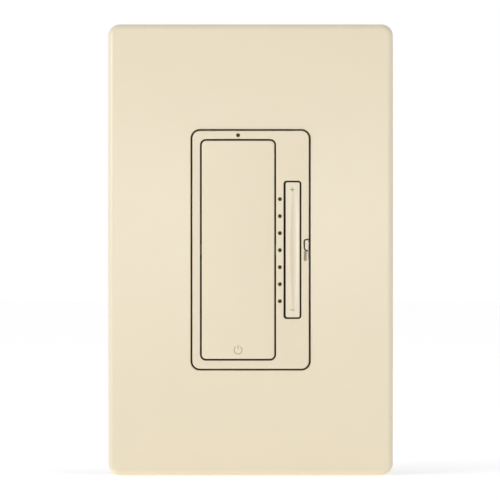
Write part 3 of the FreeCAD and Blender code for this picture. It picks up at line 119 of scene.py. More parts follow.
# ------------ shader helpers
class Shader:
    """A material being built, with short ways to add and link its nodes."""

    def __init__(self, name, **inputs):
        self.material = bpy.data.materials.new(name)
        self.material.use_nodes = True
        self.tree = self.material.node_tree
        self.surface = self.tree.nodes["Principled BSDF"]
        self.put(self.surface, inputs)
        self.coords = self.add("ShaderNodeTexCoord").outputs["Object"]

    def put(self, node, inputs):
        """Sets or links a node's inputs, named with underscores for spaces."""
        for key, value in inputs.items():
            self.plug(node.inputs[key.replace("_", " ")], value)

    def plug(self, socket, value):
        """Links a socket to another, or sets its value."""
        if isinstance(value, bpy.types.NodeSocket):
            self.tree.links.new(value, socket)
        else:
            socket.default_value = value

    def add(self, kind, settings=None, **inputs):
        """A new node with its settings and inputs."""
        node = self.tree.nodes.new(kind)
        for key, value in (settings or {}).items():
            setattr(node, key, value)
        self.put(node, inputs)
        return node

    def noise(self, size, detail=2.0, stretch=(1, 1, 1), seed=0.0):
        """Noise from 0 to 1, whose features are that many metres across, times the stretch on each axis."""
        scale = [1 / s for s in stretch]
        place = self.add("ShaderNodeMapping", Vector=self.coords, Scale=scale, Location=(seed, seed, seed))
        noise = self.add("ShaderNodeTexNoise", Vector=place.outputs[0], Scale=1 / size, Detail=detail)
        return noise.outputs["Fac"]

    def cells(self, size, seed=0.0):
        """Distance from scattered points that are about that many metres apart, as 0 to 1."""
        place = self.add("ShaderNodeMapping", Vector=self.coords, Location=(seed, seed, seed))
        return self.add("ShaderNodeTexVoronoi", Vector=place.outputs[0], Scale=1 / size).outputs["Distance"]

    def bands(self, size, axis, distortion=0.0):
        """Soft stripes across one axis, that many metres apart."""
        wave = self.add("ShaderNodeTexWave", {"wave_type": "BANDS", "bands_direction": axis},
                        Vector=self.coords, Scale=0.314 / size, Distortion=distortion)
        return wave.outputs["Fac"]

    def between(self, value, low, high, start=0.3, end=0.7):
        """A number that runs from low to high as the value goes from start to end."""
        ranged = self.add("ShaderNodeMapRange", Value=value)
        for key, number in (("From Min", start), ("From Max", end), ("To Min", low), ("To Max", high)):
            ranged.inputs[key].default_value = number
        return ranged.outputs[0]

    def mix(self, factor, first, second):
        """A colour between two others."""
        node = self.add("ShaderNodeMix", {"data_type": "RGBA"})
        self.plug(node.inputs[0], factor)
        self.plug(node.inputs[6], first)
        self.plug(node.inputs[7], second)
        return node.outputs[2]

    def bump(self, height, depth, under=None):
        """Bump of a depth in metres, over any bump made before."""
        node = self.add("ShaderNodeBump", Height=height, Distance=depth, Strength=1.0)
        if under is not None:
            self.plug(node.inputs["Normal"], under)
        return node.outputs[0]

    def done(self, colour, roughness, normal):
        """Finishes the surface and gives the material."""
        self.put(self.surface, {"Base_Color": colour, "Roughness": roughness, "Normal": normal})
        return self.material


def rgb(red, green, blue):
    """A display colour of 0 to 255 as linear RGBA."""
    def linear(c):
        c /= 255
        return c / 12.92 if c <= 0.04045 else ((c + 0.055) / 1.055) ** 2.4
    return (linear(red), linear(green), linear(blue), 1.0)


def shade(colour, factor):
    """A colour made darker or lighter."""
    return tuple(c * factor for c in colour[:3]) + (1.0,)


# ------------ materials
def moulded_plastic(name, colour, seed, gloss=0.24, shine=0.5):
    """Satin moulded plastic: a faint grain, slow mottling and slightly uneven gloss."""
    s = Shader(name, IOR=1.49, Specular_IOR_Level=shine, Subsurface_Weight=0.04,
               Subsurface_Radius=(0.9, 0.7, 0.45), Subsurface_Scale=0.0008)
    slow = s.noise(0.018, 3.0, seed=seed)
    fine = s.noise(0.00018, 3.0, seed=seed + 4)
    base = s.mix(s.between(slow, 0.0, 1.0), shade(colour, 0.992), shade(colour, 1.006))
    base = s.mix(s.between(fine, 0.0, 0.35), base, shade(colour, 0.97))
    rough = s.between(s.noise(0.006, 2.0, seed=seed + 9), gloss, gloss + 0.02)
    return s.done(base, rough, s.bump(fine, 1.2e-6))


def filled_nylon(name, colour, roughness=0.52):
    """Glass-filled nylon: swirls from the mould, short fibres and a dull skin."""
    s = Shader(name, IOR=1.53)
    swirl = s.noise(0.007, 4.0, stretch=(1, 1, 2.5))
    fibre = s.noise(0.00022, 2.0, stretch=(1, 1, 5), seed=3.0)
    base = s.mix(s.between(swirl, 0.0, 1.0), shade(colour, 0.82), shade(colour, 1.2))
    base = s.mix(s.between(fibre, 0.0, 0.35, 0.55, 0.75), base, shade(colour, 1.9))
    rough = s.between(swirl, roughness - 0.07, roughness + 0.1)
    return s.done(base, rough, s.bump(fibre, 4e-6))


def textured_thermoset(name, colour):
    """Charcoal housing plastic with a spark-eroded texture, flow marks and a few pale scuffs."""
    s = Shader(name, IOR=1.52)
    coarse = s.noise(0.0007, 3.0)
    fine = s.noise(0.00016, 2.0, seed=6.0)
    flow = s.noise(0.014, 4.0, stretch=(1, 1, 3), seed=2.0)
    scuff = s.noise(0.0022, 6.0, stretch=(6, 1, 1), seed=8.0)
    base = s.mix(s.between(flow, 0.0, 1.0), shade(colour, 0.8), shade(colour, 1.25))
    base = s.mix(s.between(scuff, 0.0, 0.5, 0.68, 0.78), base, shade(colour, 3.0))
    rough = s.between(fine, 0.46, 0.64)
    return s.done(base, rough, s.bump(coarse, 1.4e-5, s.bump(fine, 5e-6)))


def brushed_aluminium(name):
    """Strip aluminium, brushed lengthwise, with rolling lines and small handling marks."""
    s = Shader(name, Metallic=1.0)
    hair = s.noise(0.00012, 3.0, stretch=(1, 1, 60))
    streak = s.noise(0.0012, 3.0, stretch=(1, 1, 25), seed=5.0)
    mark = s.noise(0.003, 6.0, stretch=(4, 1, 1), seed=7.0)
    base = s.mix(s.between(streak, 0.0, 1.0), rgb(206, 208, 211), rgb(226, 227, 229))
    base = s.mix(s.between(mark, 0.0, 0.5, 0.66, 0.74), base, rgb(176, 178, 182))
    rough = s.between(hair, 0.24, 0.44)
    return s.done(base, rough, s.bump(hair, 3e-6, s.bump(streak, 4e-6)))


def plated_steel(name, colour, tint, roughness=0.3, metallic=1.0):
    """Plated screw steel: a cloudy tint, fine pits and rubbed patches."""
    s = Shader(name, Metallic=metallic)
    cloud = s.noise(0.0016, 3.0)
    pit = s.cells(0.00035)
    rub = s.noise(0.0009, 5.0, seed=4.0)
    base = s.mix(s.between(cloud, 0.0, 1.0), colour, tint)
    base = s.mix(s.between(pit, 0.35, 0.0, 0.05, 0.25), base, shade(colour, 0.7))
    rough = s.between(rub, roughness - 0.08, roughness + 0.14)
    return s.done(base, rough, s.bump(pit, 4e-6))


def drawn_wire(name, colour):
    """Drawn spring wire and ground pins: fine lines and a trace of oil."""
    s = Shader(name, Metallic=1.0, Coat_Weight=0.15, Coat_Roughness=0.1)
    line = s.noise(0.00006, 2.0, stretch=(8, 1, 1))
    stain = s.noise(0.0011, 3.0, seed=2.0)
    base = s.mix(s.between(stain, 0.0, 1.0), colour, shade(colour, 0.72))
    return s.done(base, s.between(line, 0.2, 0.36), s.bump(line, 2e-6))


def vulcanised_fibre(name):
    """Brown fibre washer: matted fibres and darker cut edges."""
    s = Shader(name)
    mat = s.noise(0.0004, 5.0, stretch=(3, 1, 1))
    cross = s.noise(0.0004, 5.0, stretch=(1, 1, 3), seed=5.0)
    base = s.mix(s.between(mat, 0.0, 1.0), rgb(128, 84, 58), rgb(158, 110, 78))
    base = s.mix(s.between(cross, 0.0, 0.5, 0.5, 0.8), base, rgb(104, 66, 46))
    return s.done(base, 0.78, s.bump(mat, 1.2e-5, s.bump(cross, 1.2e-5)))


def circuit_laminate(name, mask, weave_colour):
    """Glass-epoxy board under solder mask, with the cloth's weave just showing."""
    s = Shader(name, IOR=1.55, Coat_Weight=0.35, Coat_Roughness=0.12)
    warp = s.bands(0.0009, "X", 0.6)
    weft = s.bands(0.0009, "Z", 0.6)
    cloth = s.add("ShaderNodeMath", {"operation": "MULTIPLY"})
    s.plug(cloth.inputs[0], warp)
    s.plug(cloth.inputs[1], weft)
    slow = s.noise(0.009, 3.0)
    base = s.mix(s.between(cloth.outputs[0], 0.0, 0.5, 0.2, 0.9), mask, weave_colour)
    base = s.mix(s.between(slow, 0.0, 0.3), base, shade(mask, 0.7))
    rough = s.between(slow, 0.3, 0.42)
    return s.done(base, rough, s.bump(cloth.outputs[0], 3e-6))


def cast_epoxy(name, colour, roughness=0.55, grain=0.00013, depth=4e-6):
    """Moulded or dipped epoxy: a fine grain, shallow waves and cloudy tone."""
    s = Shader(name, IOR=1.56)
    fine = s.noise(grain, 3.0)
    wave = s.noise(0.0024, 2.0, seed=3.0)
    base = s.mix(s.between(wave, 0.0, 1.0), shade(colour, 0.86), shade(colour, 1.14))
    base = s.mix(s.between(fine, 0.0, 0.3, 0.5, 0.8), base, shade(colour, 1.6))
    rough = s.between(fine, roughness - 0.06, roughness + 0.1)
    return s.done(base, rough, s.bump(fine, depth, s.bump(wave, 2.5e-5)))


def glossy_case(name, colour, roughness=0.22):
    """Glossy moulded case: faint sink marks, specks of filler and fine rub marks."""
    s = Shader(name, IOR=1.52, Coat_Weight=0.4, Coat_Roughness=0.08)
    sink = s.noise(0.004, 2.0)
    speck = s.cells(0.0004, 2.0)
    rub = s.noise(0.0006, 5.0, stretch=(1, 1, 6), seed=7.0)
    base = s.mix(s.between(speck, 0.4, 0.0, 0.04, 0.16), colour, shade(colour, 0.6))
    base = s.mix(s.between(sink, 0.0, 0.5), base, shade(colour, 0.88))
    rough = s.between(rub, roughness, roughness + 0.14)
    return s.done(base, rough, s.bump(sink, 3e-5, s.bump(rub, 1.5e-6)))


def smoked_lens(name):
    """Dark smoked acrylic that hides the lamp behind it while it is off."""
    s = Shader(name, IOR=1.49, Specular_IOR_Level=0.2)
    cloud = s.noise(0.0006, 2.0)
    scratch = s.noise(0.00005, 3.0, seed=4.0)
    base = s.mix(s.between(cloud, 0.0, 1.0), rgb(54, 46, 28), rgb(66, 56, 36))
    return s.done(base, s.between(scratch, 0.3, 0.44), s.bump(scratch, 1e-6))


def soft_metal(name, colour, roughness=0.32):
    """Tin, solder or brass sheet: frosty crystals, drawing lines and dull stains."""
    s = Shader(name, Metallic=1.0)
    frost = s.cells(0.0009, 1.0)
    line = s.noise(0.00009, 2.0, stretch=(1, 12, 1), seed=3.0)
    stain = s.noise(0.0021, 4.0, seed=6.0)
    base = s.mix(s.between(frost, 0.0, 0.5, 0.1, 0.6), colour, shade(colour, 0.84))
    base = s.mix(s.between(stain, 0.0, 0.6, 0.5, 0.75), base, shade(colour, 0.66))
    rough = s.between(stain, roughness - 0.06, roughness + 0.16)
    return s.done(base, rough, s.bump(line, 2.5e-6, s.bump(frost, 3e-6)))


def enamelled_copper(name):
    """Magnet wire: copper under an amber lacquer that varies in thickness."""
    s = Shader(name, Metallic=1.0, Coat_Weight=0.8, Coat_Roughness=0.09, Coat_Tint=(1.0, 0.72, 0.45, 1.0))
    lacquer = s.noise(0.0012, 3.0)
    line = s.noise(0.00007, 2.0, seed=5.0)
    base = s.mix(s.between(lacquer, 0.0, 1.0), rgb(178, 84, 44), rgb(206, 118, 66))
    return s.done(base, s.between(lacquer, 0.18, 0.32), s.bump(line, 2e-6))


def shrink_sleeve(name, colour, stripe):
    """Heat-shrunk sleeve with the pale stripe that marks the negative lead."""
    s = Shader(name, IOR=1.5, Coat_Weight=0.3, Coat_Roughness=0.15)
    wrinkle = s.noise(0.0012, 3.0, stretch=(1, 0.4, 1))
    split = s.add("ShaderNodeSeparateXYZ", Vector=s.coords)
    edge = CAN_Z - CAN_R * 0.85
    in_stripe = s.between(split.outputs["Z"], 1.0, 0.0, (edge - CAN_R * 0.01) * MM, edge * MM)
    dash = s.between(s.bands(0.0026, "Y"), 0.0, 1.0, 0.75, 0.8)
    pale = s.mix(dash, stripe, colour)
    base = s.mix(in_stripe, s.mix(s.between(wrinkle, 0.0, 0.5), colour, shade(colour, 1.5)), pale)
    return s.done(base, s.between(wrinkle, 0.26, 0.4), s.bump(wrinkle, 2e-5))


def printed_ink(name, colour):
    """Pad-printed ink, very slightly patchy."""
    s = Shader(name, IOR=1.45)
    patch = s.noise(0.00022, 3.0)
    base = s.mix(s.between(patch, 0.0, 0.6, 0.35, 0.8), colour, shade(colour, 1.18))
    return s.done(base, s.between(patch, 0.42, 0.6), s.bump(patch, 1e-6))


def label_film(name):
    """Matt silvery label film with faint rolling lines."""
    s = Shader(name, Metallic=0.45)
    roll = s.noise(0.0002, 3.0, stretch=(30, 1, 1))
    slow = s.noise(0.008, 2.0, seed=2.0)
    base = s.mix(s.between(slow, 0.0, 1.0), rgb(196, 198, 200), rgb(214, 215, 216))
    return s.done(base, s.between(roll, 0.36, 0.5), s.bump(roll, 1.5e-6))


def make_finishes():
    """Every material, by the record's slot name, and a few for details that have no slot of their own."""
    looks = {
        "plate_plastic": (moulded_plastic, rgb(231, 219, 193), 0.0),
        "bezel_plastic": (moulded_plastic, rgb(229, 217, 191), 2.0, 0.34),
        "control_plastic": (moulded_plastic, rgb(231, 219, 193), 5.0, 0.34),
        "bar_plastic": (moulded_plastic, rgb(226, 214, 188), 7.0, 0.3, 1.0),
        # painted shade: the paddle's ears are coloured darker to stand for the shade in the deep seam
        # beside the paddle
        "ear_plastic": (moulded_plastic, rgb(140, 129, 105), 9.0, 0.5),
        "frame_nylon": (filled_nylon, rgb(84, 74, 56)),
        "carrier_nylon": (filled_nylon, rgb(70, 60, 42), 0.48),
        "housing_plastic": (textured_thermoset, rgb(58, 58, 60)),
        "smoke_lens": (smoked_lens,),
        "strap_aluminium": (brushed_aluminium,),
        "zinc_steel": (plated_steel, rgb(196, 200, 206), rgb(208, 203, 186)),
        "green_steel": (plated_steel, rgb(34, 120, 62), rgb(52, 142, 76), 0.34, 0.75),
        "black_steel": (plated_steel, rgb(44, 43, 44), rgb(58, 55, 52), 0.4, 0.85),
        "nickel_steel": (plated_steel, rgb(214, 211, 202), rgb(226, 222, 212), 0.22),
        "terminal_brass": (soft_metal, rgb(212, 172, 98), 0.3),
        "spring_steel": (drawn_wire, rgb(178, 180, 184)),
        "fibre": (vulcanised_fibre,),
        "circuit_board": (circuit_laminate, rgb(22, 84, 48), rgb(44, 112, 66)),
        "black_epoxy": (cast_epoxy, rgb(34, 34, 36)),
        "plunger_plastic": (glossy_case, rgb(196, 188, 170), 0.3),
        "lamp_package": (glossy_case, rgb(232, 230, 222), 0.26),
        "tinned_metal": (soft_metal, rgb(206, 208, 210)),
        "ferrite": (cast_epoxy, rgb(70, 92, 76), 0.5, 0.0003, 8e-6),
        "enamelled_copper": (enamelled_copper,),
        "film_case": (glossy_case, rgb(196, 156, 42)),
        "can_sleeve": (shrink_sleeve, rgb(34, 40, 72), rgb(196, 200, 206)),
        "disc_coating": (cast_epoxy, rgb(38, 84, 140), 0.3, 0.0005, 1.6e-5),
        "fuse_ceramic": (glossy_case, rgb(226, 222, 208), 0.3),
        "pad_silicone": (cast_epoxy, rgb(176, 150, 146), 0.7, 0.0002, 6e-6),
        "track": (circuit_laminate, rgb(40, 118, 62), rgb(52, 134, 74)),
        "can_top": (soft_metal, rgb(200, 203, 207), 0.24),
        "grey_ink": (printed_ink, rgb(170, 162, 144)),
        "dark_ink": (printed_ink, rgb(44, 44, 48)),
        "label": (label_film,),
    }
    return {name: make(name, *settings) for name, (make, *settings) in looks.items()}


FINISH = make_finishes()


def finish_cad_nodes():
    """Gives each CAD node the finish of its slot."""
    for part in frame["record"]["subparts"]:
        data = NODES[part["node"]].data
        for i in range(len(data.materials)):
            data.materials[i] = FINISH[part["material_slot"]]


def repaint(node, finish, test):
    """Gives another finish to the faces of a CAD node whose middle, in millimetres, passes the test."""
    data = NODES[node].data
    data.materials.append(FINISH[finish])
    for face in data.polygons:
        if test(face.center / MM):
            face.material_index = len(data.materials) - 1


# ------------ mesh helpers, in millimetres
def new_object(name, data):
    """A new object in the scene."""
    made = bpy.data.objects.new(name, data)
    bpy.context.scene.collection.objects.link(made)
    return made


def skin(rings):
    """A closed skin over rings of points that have the same count, with a face over each end."""
    count = len(rings[0])
    points = [p for ring in rings for p in ring]
    faces = []
    for r in range(len(rings) - 1):
        for i in range(count):
            j = (i + 1) % count
            faces.append((r * count + i, r * count + j, (r + 1) * count + j, (r + 1) * count + i))
    faces.append(tuple(reversed(range(count))))
    faces.append(tuple(range(len(points) - count, len(points))))
    mesh = bpy.data.meshes.new("shape")
    mesh.from_pydata(points, [], faces)
    return mesh


def circle(radius, height, sides):
    """A ring of points round the Z axis."""
    turn = 2 * math.pi / sides
    return [(radius * math.cos(i * turn), radius * math.sin(i * turn), height) for i in range(sides)]


def lathe(profile, sides=40):
    """A turned shape round Z from (radius, height) pairs with rising height."""
    return skin([circle(max(r, 0.002), z, sides) for r, z in profile])


def rect(w, h, z):
    """A rectangle of points round the Z axis."""
    return [(-w / 2, -h / 2, z), (w / 2, -h / 2, z), (w / 2, h / 2, z), (-w / 2, h / 2, z)]


def block(x0, x1, y0, y1, z0, z1, bevel=0.0):
    """A block with its edges bevelled by that much."""
    bm = bmesh.new()
    bmesh.ops.create_cube(bm, size=1.0)
    middle = Vector(((x0 + x1) / 2, (y0 + y1) / 2, (z0 + z1) / 2))
    size = Matrix.Diagonal((x1 - x0, y1 - y0, z1 - z0, 1))
    bmesh.ops.transform(bm, matrix=Matrix.Translation(middle) @ size, verts=bm.verts)
    if bevel:
        bmesh.ops.bevel(bm, geom=bm.edges[:], offset=bevel, segments=2, affect="EDGES")
    mesh = bpy.data.meshes.new("block")
    bm.to_mesh(mesh)
    bm.free()
    return mesh


def tube(path, radius, sides=10):
    """A round wire along a path of points."""
    path = [Vector(p) for p in path]
    ahead = (path[1] - path[0]).normalized()
    side = ahead.orthogonal().normalized()
    rings = []
    for i, point in enumerate(path):
        before, after = path[max(i - 1, 0)], path[min(i + 1, len(path) - 1)]
        turned = (after - before).normalized()
        side = ahead.rotation_difference(turned) @ side
        ahead = turned
        up = ahead.cross(side)
        angles = [2 * math.pi * k / sides for k in range(sides)]
        rings.append([tuple(point + radius * (math.cos(a) * side + math.sin(a) * up)) for a in angles])
    return skin(rings)


def thread(radius, core, pitch, start, end, sides=32, rows=10):
    """A threaded shank along Z, with a V thread that fades in and out and a bevelled tip."""
    step = pitch / rows
    count = round((end - start) / step)
    rings = []
    for row in range(count + 1):
        z = start + (end - start) * row / count
        fade = min(1.0, (z - start) / pitch, (end - z) / (0.6 * pitch))
        tip = min(1.0, 0.82 + (end - z) / (2.0 * pitch))
        ring = []
        for i in range(sides):
            phase = (z / pitch - i / sides) % 1.0
            ridge = min(1.0, max(0.0, 1.15 * (1 - abs(2 * phase - 1)) - 0.05))
            r = (core + (radius - core) * ridge * fade) * tip
            angle = 2 * math.pi * i / sides
            ring.append((r * math.cos(angle), r * math.sin(angle), z))
        rings.append(ring)
    return skin(rings)


def carve(mesh, *cutters):
    """The mesh with each cutter taken out of it."""
    target = new_object("target", mesh)
    tools = []
    for cutter in cutters:
        tool = new_object("tool", cutter)
        modifier = target.modifiers.new("cut", "BOOLEAN")
        modifier.operation, modifier.solver, modifier.object = "DIFFERENCE", "EXACT", tool
        tools.append(tool)
    graph = bpy.context.evaluated_depsgraph_get()
    result = bpy.data.meshes.new_from_object(target.evaluated_get(graph))
    for made in [target, *tools]:
        bpy.data.objects.remove(made)
    return result


def assemble(name, parts, finish, body, stands_for=(), sharp=32):
    """One piece in metres from (mesh, placement) pairs. It rides on its body, if it has one."""
    bm = bmesh.new()
    for mesh, placement in parts:
        first = len(bm.verts)
        bm.from_mesh(mesh)
        bm.verts.ensure_lookup_table()
        bmesh.ops.transform(bm, matrix=Matrix.Scale(MM, 4) @ placement, verts=bm.verts[first:])
    bmesh.ops.recalc_face_normals(bm, faces=bm.faces)
    mesh = bpy.data.meshes.new(name)
    bm.to_mesh(mesh)
    bm.free()
    mesh.shade_smooth()
    mesh.set_sharp_from_angle(angle=math.radians(sharp))
    mesh.materials.append(FINISH[finish])
    made = new_object(name, mesh)
    if body:
        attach(made, body)
    if stands_for:
        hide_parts(*stands_for)
    return made


def in_place(name, shapes, finish, body="base", stands_for=(), sharp=32):
    """One piece from shapes that already stand where they belong."""
    parts = [(shape, Matrix.Identity(4)) for shape in shapes]
    return assemble(name, parts, finish, body, stands_for, sharp)


def aimed(direction, place, turn=0.0):
    """A placement that turns a shape about its own Z, points that Z in a direction and moves it."""
    pointed = Z.rotation_difference(direction).to_matrix().to_4x4()
    return Matrix.Translation(place) @ pointed @ Matrix.Rotation(math.radians(turn), 4, "Z")


# ------------ screws, with the head's underside at Z = 0
SIX_32 = {"radius": 1.75, "core": 1.33, "pitch": 0.794}       # thread of the box and plate screws


def pan_profile(r, h, edge):
    """Half section of a pan head from its top to its underside, as (radius, height)."""
    crown, chamfer = 0.04, 0.12
    arc = [math.radians(a) for a in range(0, 91, 15)]
    rim = [(r - edge + edge * math.sin(a), -h + edge - edge * math.cos(a)) for a in arc]
    return [(0, -h - crown), (r * 0.3, -h - crown + 0.005), *rim, (r, -chamfer), (r - chamfer, 0), (0, 0)]


def slot_cutter(length, width, top, depth):
    """What a straight screwdriver slot takes out."""
    return block(-length / 2, length / 2, -width / 2, width / 2, top - 1, top + depth)


def cross_cutters(length, width, top, depth):
    """What a cross recess takes out: two arms that taper with depth."""
    rings = [(length, width, top - 0.2), (length, width, top), (length * 0.45, width * 0.7, top + depth)]
    along = skin([rect(w, h, z) for w, h, z in rings])
    across = skin([rect(h, w, z) for w, h, z in rings])
    return [along, across]


def pan_head(r, h, slot_w, edge=0.45):
    """A pan head with a slot and a cross recess, its rim rounded by that share of the height."""
    slot = slot_cutter(2.4 * r, slot_w, -h, 0.42 * h)
    cross = cross_cutters(1.15 * r, slot_w * 1.05, -h - 0.05, 0.8 * h)
    return carve(lathe(pan_profile(r, h, h * edge), 56), slot, *cross)


def washer_hex_head(r, h, slot_w):
    """A hexagon on a round flange, slotted, for the grounding screw."""
    flange = lathe([(r - 0.3, -0.9), (r, -0.75), (r, -0.1), (r - 0.1, 0.0)], 56)
    hexagon = skin([circle(r * 0.72, -h, 6), circle(r * 0.84, -h + 0.35, 6), circle(r * 0.84, -0.85, 6)])
    return [flange, carve(hexagon, slot_cutter(3 * r, slot_w, -h, 0.45 * h))]


def countersunk_head(r, shank_r, h, slot_w):
    """A flat head that starts at Z = 0 and narrows to the shank."""
    cone = lathe([(r - 0.15, 0), (r, 0.08), (r, 0.16), (shank_r, h), (shank_r, h + 0.1)], 56)
    return carve(cone, slot_cutter(3 * r, slot_w, 0, 0.8), *cross_cutters(1.1 * r, slot_w, -0.05, 1.3))


def screw_set(name, node, finish, shapes, places):
    """All the screws of one node as one piece."""
    parts = [(shape, place) for place in places for shape in shapes]
    return assemble(name, parts, finish, "base", (node,))


def make_box_screws():
    """The long screws that hold the strap to the wall box, with a thin neck under the head."""
    neck_r = 1.4
    neck = lathe([(neck_r, -0.2), (neck_r, BOX_SCREW_NECK), (SIX_32["core"], BOX_SCREW_NECK + 0.05)])
    shank = thread(**SIX_32, start=BOX_SCREW_NECK, end=BOX_SCREW_LENGTH)
    head = pan_head(r=3.5, h=1.66, slot_w=0.9)
    places = [aimed(Y, (0, STRAP_FRONT, s * BOX_SCREW_Z), 20 + 50 * s) for s in SIDES]
    screw_set("box_screws_threaded", "box_screws", "zinc_steel", [head, neck, shank], places)


def make_plate_screws():
    """The flat-head screws that hold the mounting frame on the strap."""
    shank = thread(**SIX_32, start=1.5, end=PLATE_SCREW_END - PLATE_SCREW_FRONT)
    head = countersunk_head(r=3.4, shank_r=SIX_32["radius"], h=1.55, slot_w=1.0)
    places = [aimed(Y, (0, PLATE_SCREW_FRONT, s * PLATE_SCREW_Z), 75 - 30 * s) for s in SIDES]
    screw_set("plate_screws_threaded", "plate_screws", "zinc_steel", [head, shank], places)


def make_ground_screw():
    """The green hexagon screw on the strap."""
    head = washer_hex_head(r=3.9, h=2.2, slot_w=1.1)
    shank = thread(radius=1.95, core=1.55, pitch=0.85, start=-0.1, end=2.0, rows=12)
    place = aimed(Z, GROUND_SCREW, 12)
    screw_set("ground_screw_hex", "ground_screw", "green_steel", [*head, shank], [place])


def make_terminal_screws():
    """The binding screws in the housing's sides, coloured by what they take."""
    head = pan_head(r=3.9, h=1.76, slot_w=1.0, edge=0.6)
    shank = thread(radius=2.05, core=1.65, pitch=0.85, start=-0.1, end=TERMINAL_SHANK, rows=12)
    for name, node, finish, corners in (
        ("line_screw_threaded", "line_terminal_screw", "black_steel", [(-1, 1)]),
        ("load_screws_threaded", "load_terminal_screws", "terminal_brass", [(-1, -1), (1, 1)]),
        ("neutral_screw_threaded", "neutral_terminal_screw", "nickel_steel", [(1, -1)]),
    ):
        places = [aimed(X * -side, (side * TERMINAL_X, TERMINAL_Y, row * TERMINAL_Z), 30 * side + 55 * row)
                  for side, row in corners]
        screw_set(name, node, finish, [head, shank], places)


def make_housing_screws():
    """The four long screws that close the housing, threaded only at the far end."""
    thread_start, shank_r = 22.0, 1.0
    head = pan_head(r=2.0, h=1.36, slot_w=0.5)
    shank = lathe([(shank_r, -0.1), (shank_r, thread_start + 0.1)], 24)
    end = thread(radius=1.2, core=0.95, pitch=0.9, start=thread_start, end=HOUSING_SCREW_LENGTH,
                 sides=24, rows=8)
    places = [aimed(-Y, (sx * HOUSING_SCREW_X, HOUSING_SCREW_Y, sz * HOUSING_SCREW_Z), 35 * sx + 20 * sz)
              for sx in SIDES for sz in SIDES]
    screw_set("housing_screws_threaded", "housing_screws", "zinc_steel", [head, shank, end], places)


def make_transistor_screws():
    """The short screws that clamp the transistors to the strap's heat tab."""
    head = pan_head(r=2.75, h=1.86, slot_w=0.7)
    shank = thread(radius=1.5, core=1.2, pitch=0.6, start=-0.1, end=TRANSISTOR_SCREW_LENGTH, sides=24)
    places = [aimed(X, (TRANSISTOR_SCREW_X, TRANSISTOR_SCREW_Y, s * TRANSISTOR_Z), 40 * s) for s in SIDES]
    screw_set("transistor_screws_threaded", "transistor_screws", "zinc_steel", [head, shank], places)


# ------------ springs and plungers
def spring_path(radius, length, turns=5.5, dead=1.0):
    """A compression spring along +Y whose end turns lie nearly flat."""
    per_turn, end_rise = 28, 0.16
    count = round(turns * per_turn)
    path = []
    for i in range(count + 1):
        done = i / per_turn
        share = min(max((done - dead) / (turns - 2 * dead), 0.0), 1.0)
        rise = end_rise * min(done, dead) + end_rise * max(0.0, done - (turns - dead))
        lift = rise + share * (length - 2 * end_rise * dead)
        angle = 2 * math.pi * done
        path.append((radius * math.cos(angle), lift, radius * math.sin(angle)))
    return path


def make_springs():
    """Round-wire return springs, each wound to fill the gap between the carrier and its rocker."""
    gap = 0.02
    for name, node, body, x, z, under, radius, wire in (
        ("paddle_springs_wound", "paddle_springs", "rocker", PADDLE_X, PADDLE_SPRING_Z, PADDLE_UNDER,
         1.55, 0.15),
        ("bar_springs_wound", "bar_springs", "bar", BAR_X, BAR_SPRING_Z, BAR_UNDER, 0.95, 0.11),
    ):
        low, high = under + gap + wire, CARRIER_FRONT - gap - wire
        coil = tube(spring_path(radius, high - low), wire)
        coils = [(coil, Matrix.Translation((x, low, s * z))) for s in SIDES]
        made = assemble(name, coils, "spring_steel", None, (node,), 60)
        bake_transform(made)


def make_plungers():
    """Domed switch buttons, two under each rocker."""
    height = SWITCH_FRONT - PLUNGER_TIP
    profile = [(0.0, 0.0), (0.5, 0.01), (0.8, 0.05), (1.0, 0.14), (1.12, 0.32), (1.2, 0.5), (1.2, height)]
    dome = lathe(profile)
    for name, node, joint, x, z, keep in (
        ("paddle_plungers_domed", "paddle_switch_plungers", "paddle_rock", PADDLE_X, PADDLE_KEY_Z, 0.6),
        ("bar_plungers_domed", "bar_switch_plungers", "bar_rock", BAR_X, BAR_KEY_Z, 0.55),
    ):
        domes = [(dome, aimed(Y, (x, PLUNGER_TIP, s * z))) for s in SIDES]
        made = assemble(name, domes, "plunger_plastic", "base", (node,))
        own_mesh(made)


# ------------ marks on the controls
INK_W, INK_LIFT = 0.26, 0.004


def stroke(x0, z0, x1, z1, width, front, back):
    """A straight printed line with round ends, facing the room."""
    start, end = Vector((x0, 0, z0)), Vector((x1, 0, z1))
    along = (end - start).normalized()
    outline = []
    for centre, direction in ((end, along), (start, -along)):
        for i in range(7):
            turn = Matrix.Rotation(math.pi * (i / 6 - 0.5), 3, "Y")
            outline.append(centre + turn @ (direction * width / 2))
    return skin([[(p.x, y, p.z) for p in outline] for y in (front, back)])


def arc_band(x, z, radius, width, start, end, front, back):
    """A printed arc, with its angles in degrees from the top."""
    steps = 28
    rings = []
    for i in range(steps + 1):
        a = math.radians(start + (end - start) * i / steps)
        inner, outer = radius - width / 2, radius + width / 2
        rings.append([(x + r * math.sin(a), y, z + r * math.cos(a))
                      for r, y in ((inner, front), (outer, front), (outer, back), (inner, back))])
    return skin(rings)


def make_bar_marks():
    """The plus and the minus at the bar's ends."""
    x, plus_z, minus_z, half = BAR_X - 0.15, 16.8, -16.75, 0.55
    front, back = BAR_FRONT - INK_LIFT, BAR_FRONT + 0.03
    strokes = [stroke(x - half, plus_z, x + half, plus_z, INK_W, front, back),
               stroke(x, plus_z - half, x, plus_z + half, INK_W, front, back),
               stroke(x - half, minus_z, x + half, minus_z, INK_W, front, back)]
    in_place("bar_marks", strokes, "grey_ink", "bar")


def make_power_symbol():
    """A generic power symbol at the paddle's foot: a ring that a short bar opens."""
    z, radius = -27.9, 1.1
    front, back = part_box("paddle")[0].y / MM - INK_LIFT, PADDLE_FRONT + 0.04
    symbol = [arc_band(PADDLE_X, z, radius, INK_W, 35, 325, front, back),
              stroke(PADDLE_X, z + 0.35, PADDLE_X, z + radius + 0.25, INK_W, front, back)]
    in_place("paddle_mark", symbol, "grey_ink", "rocker")


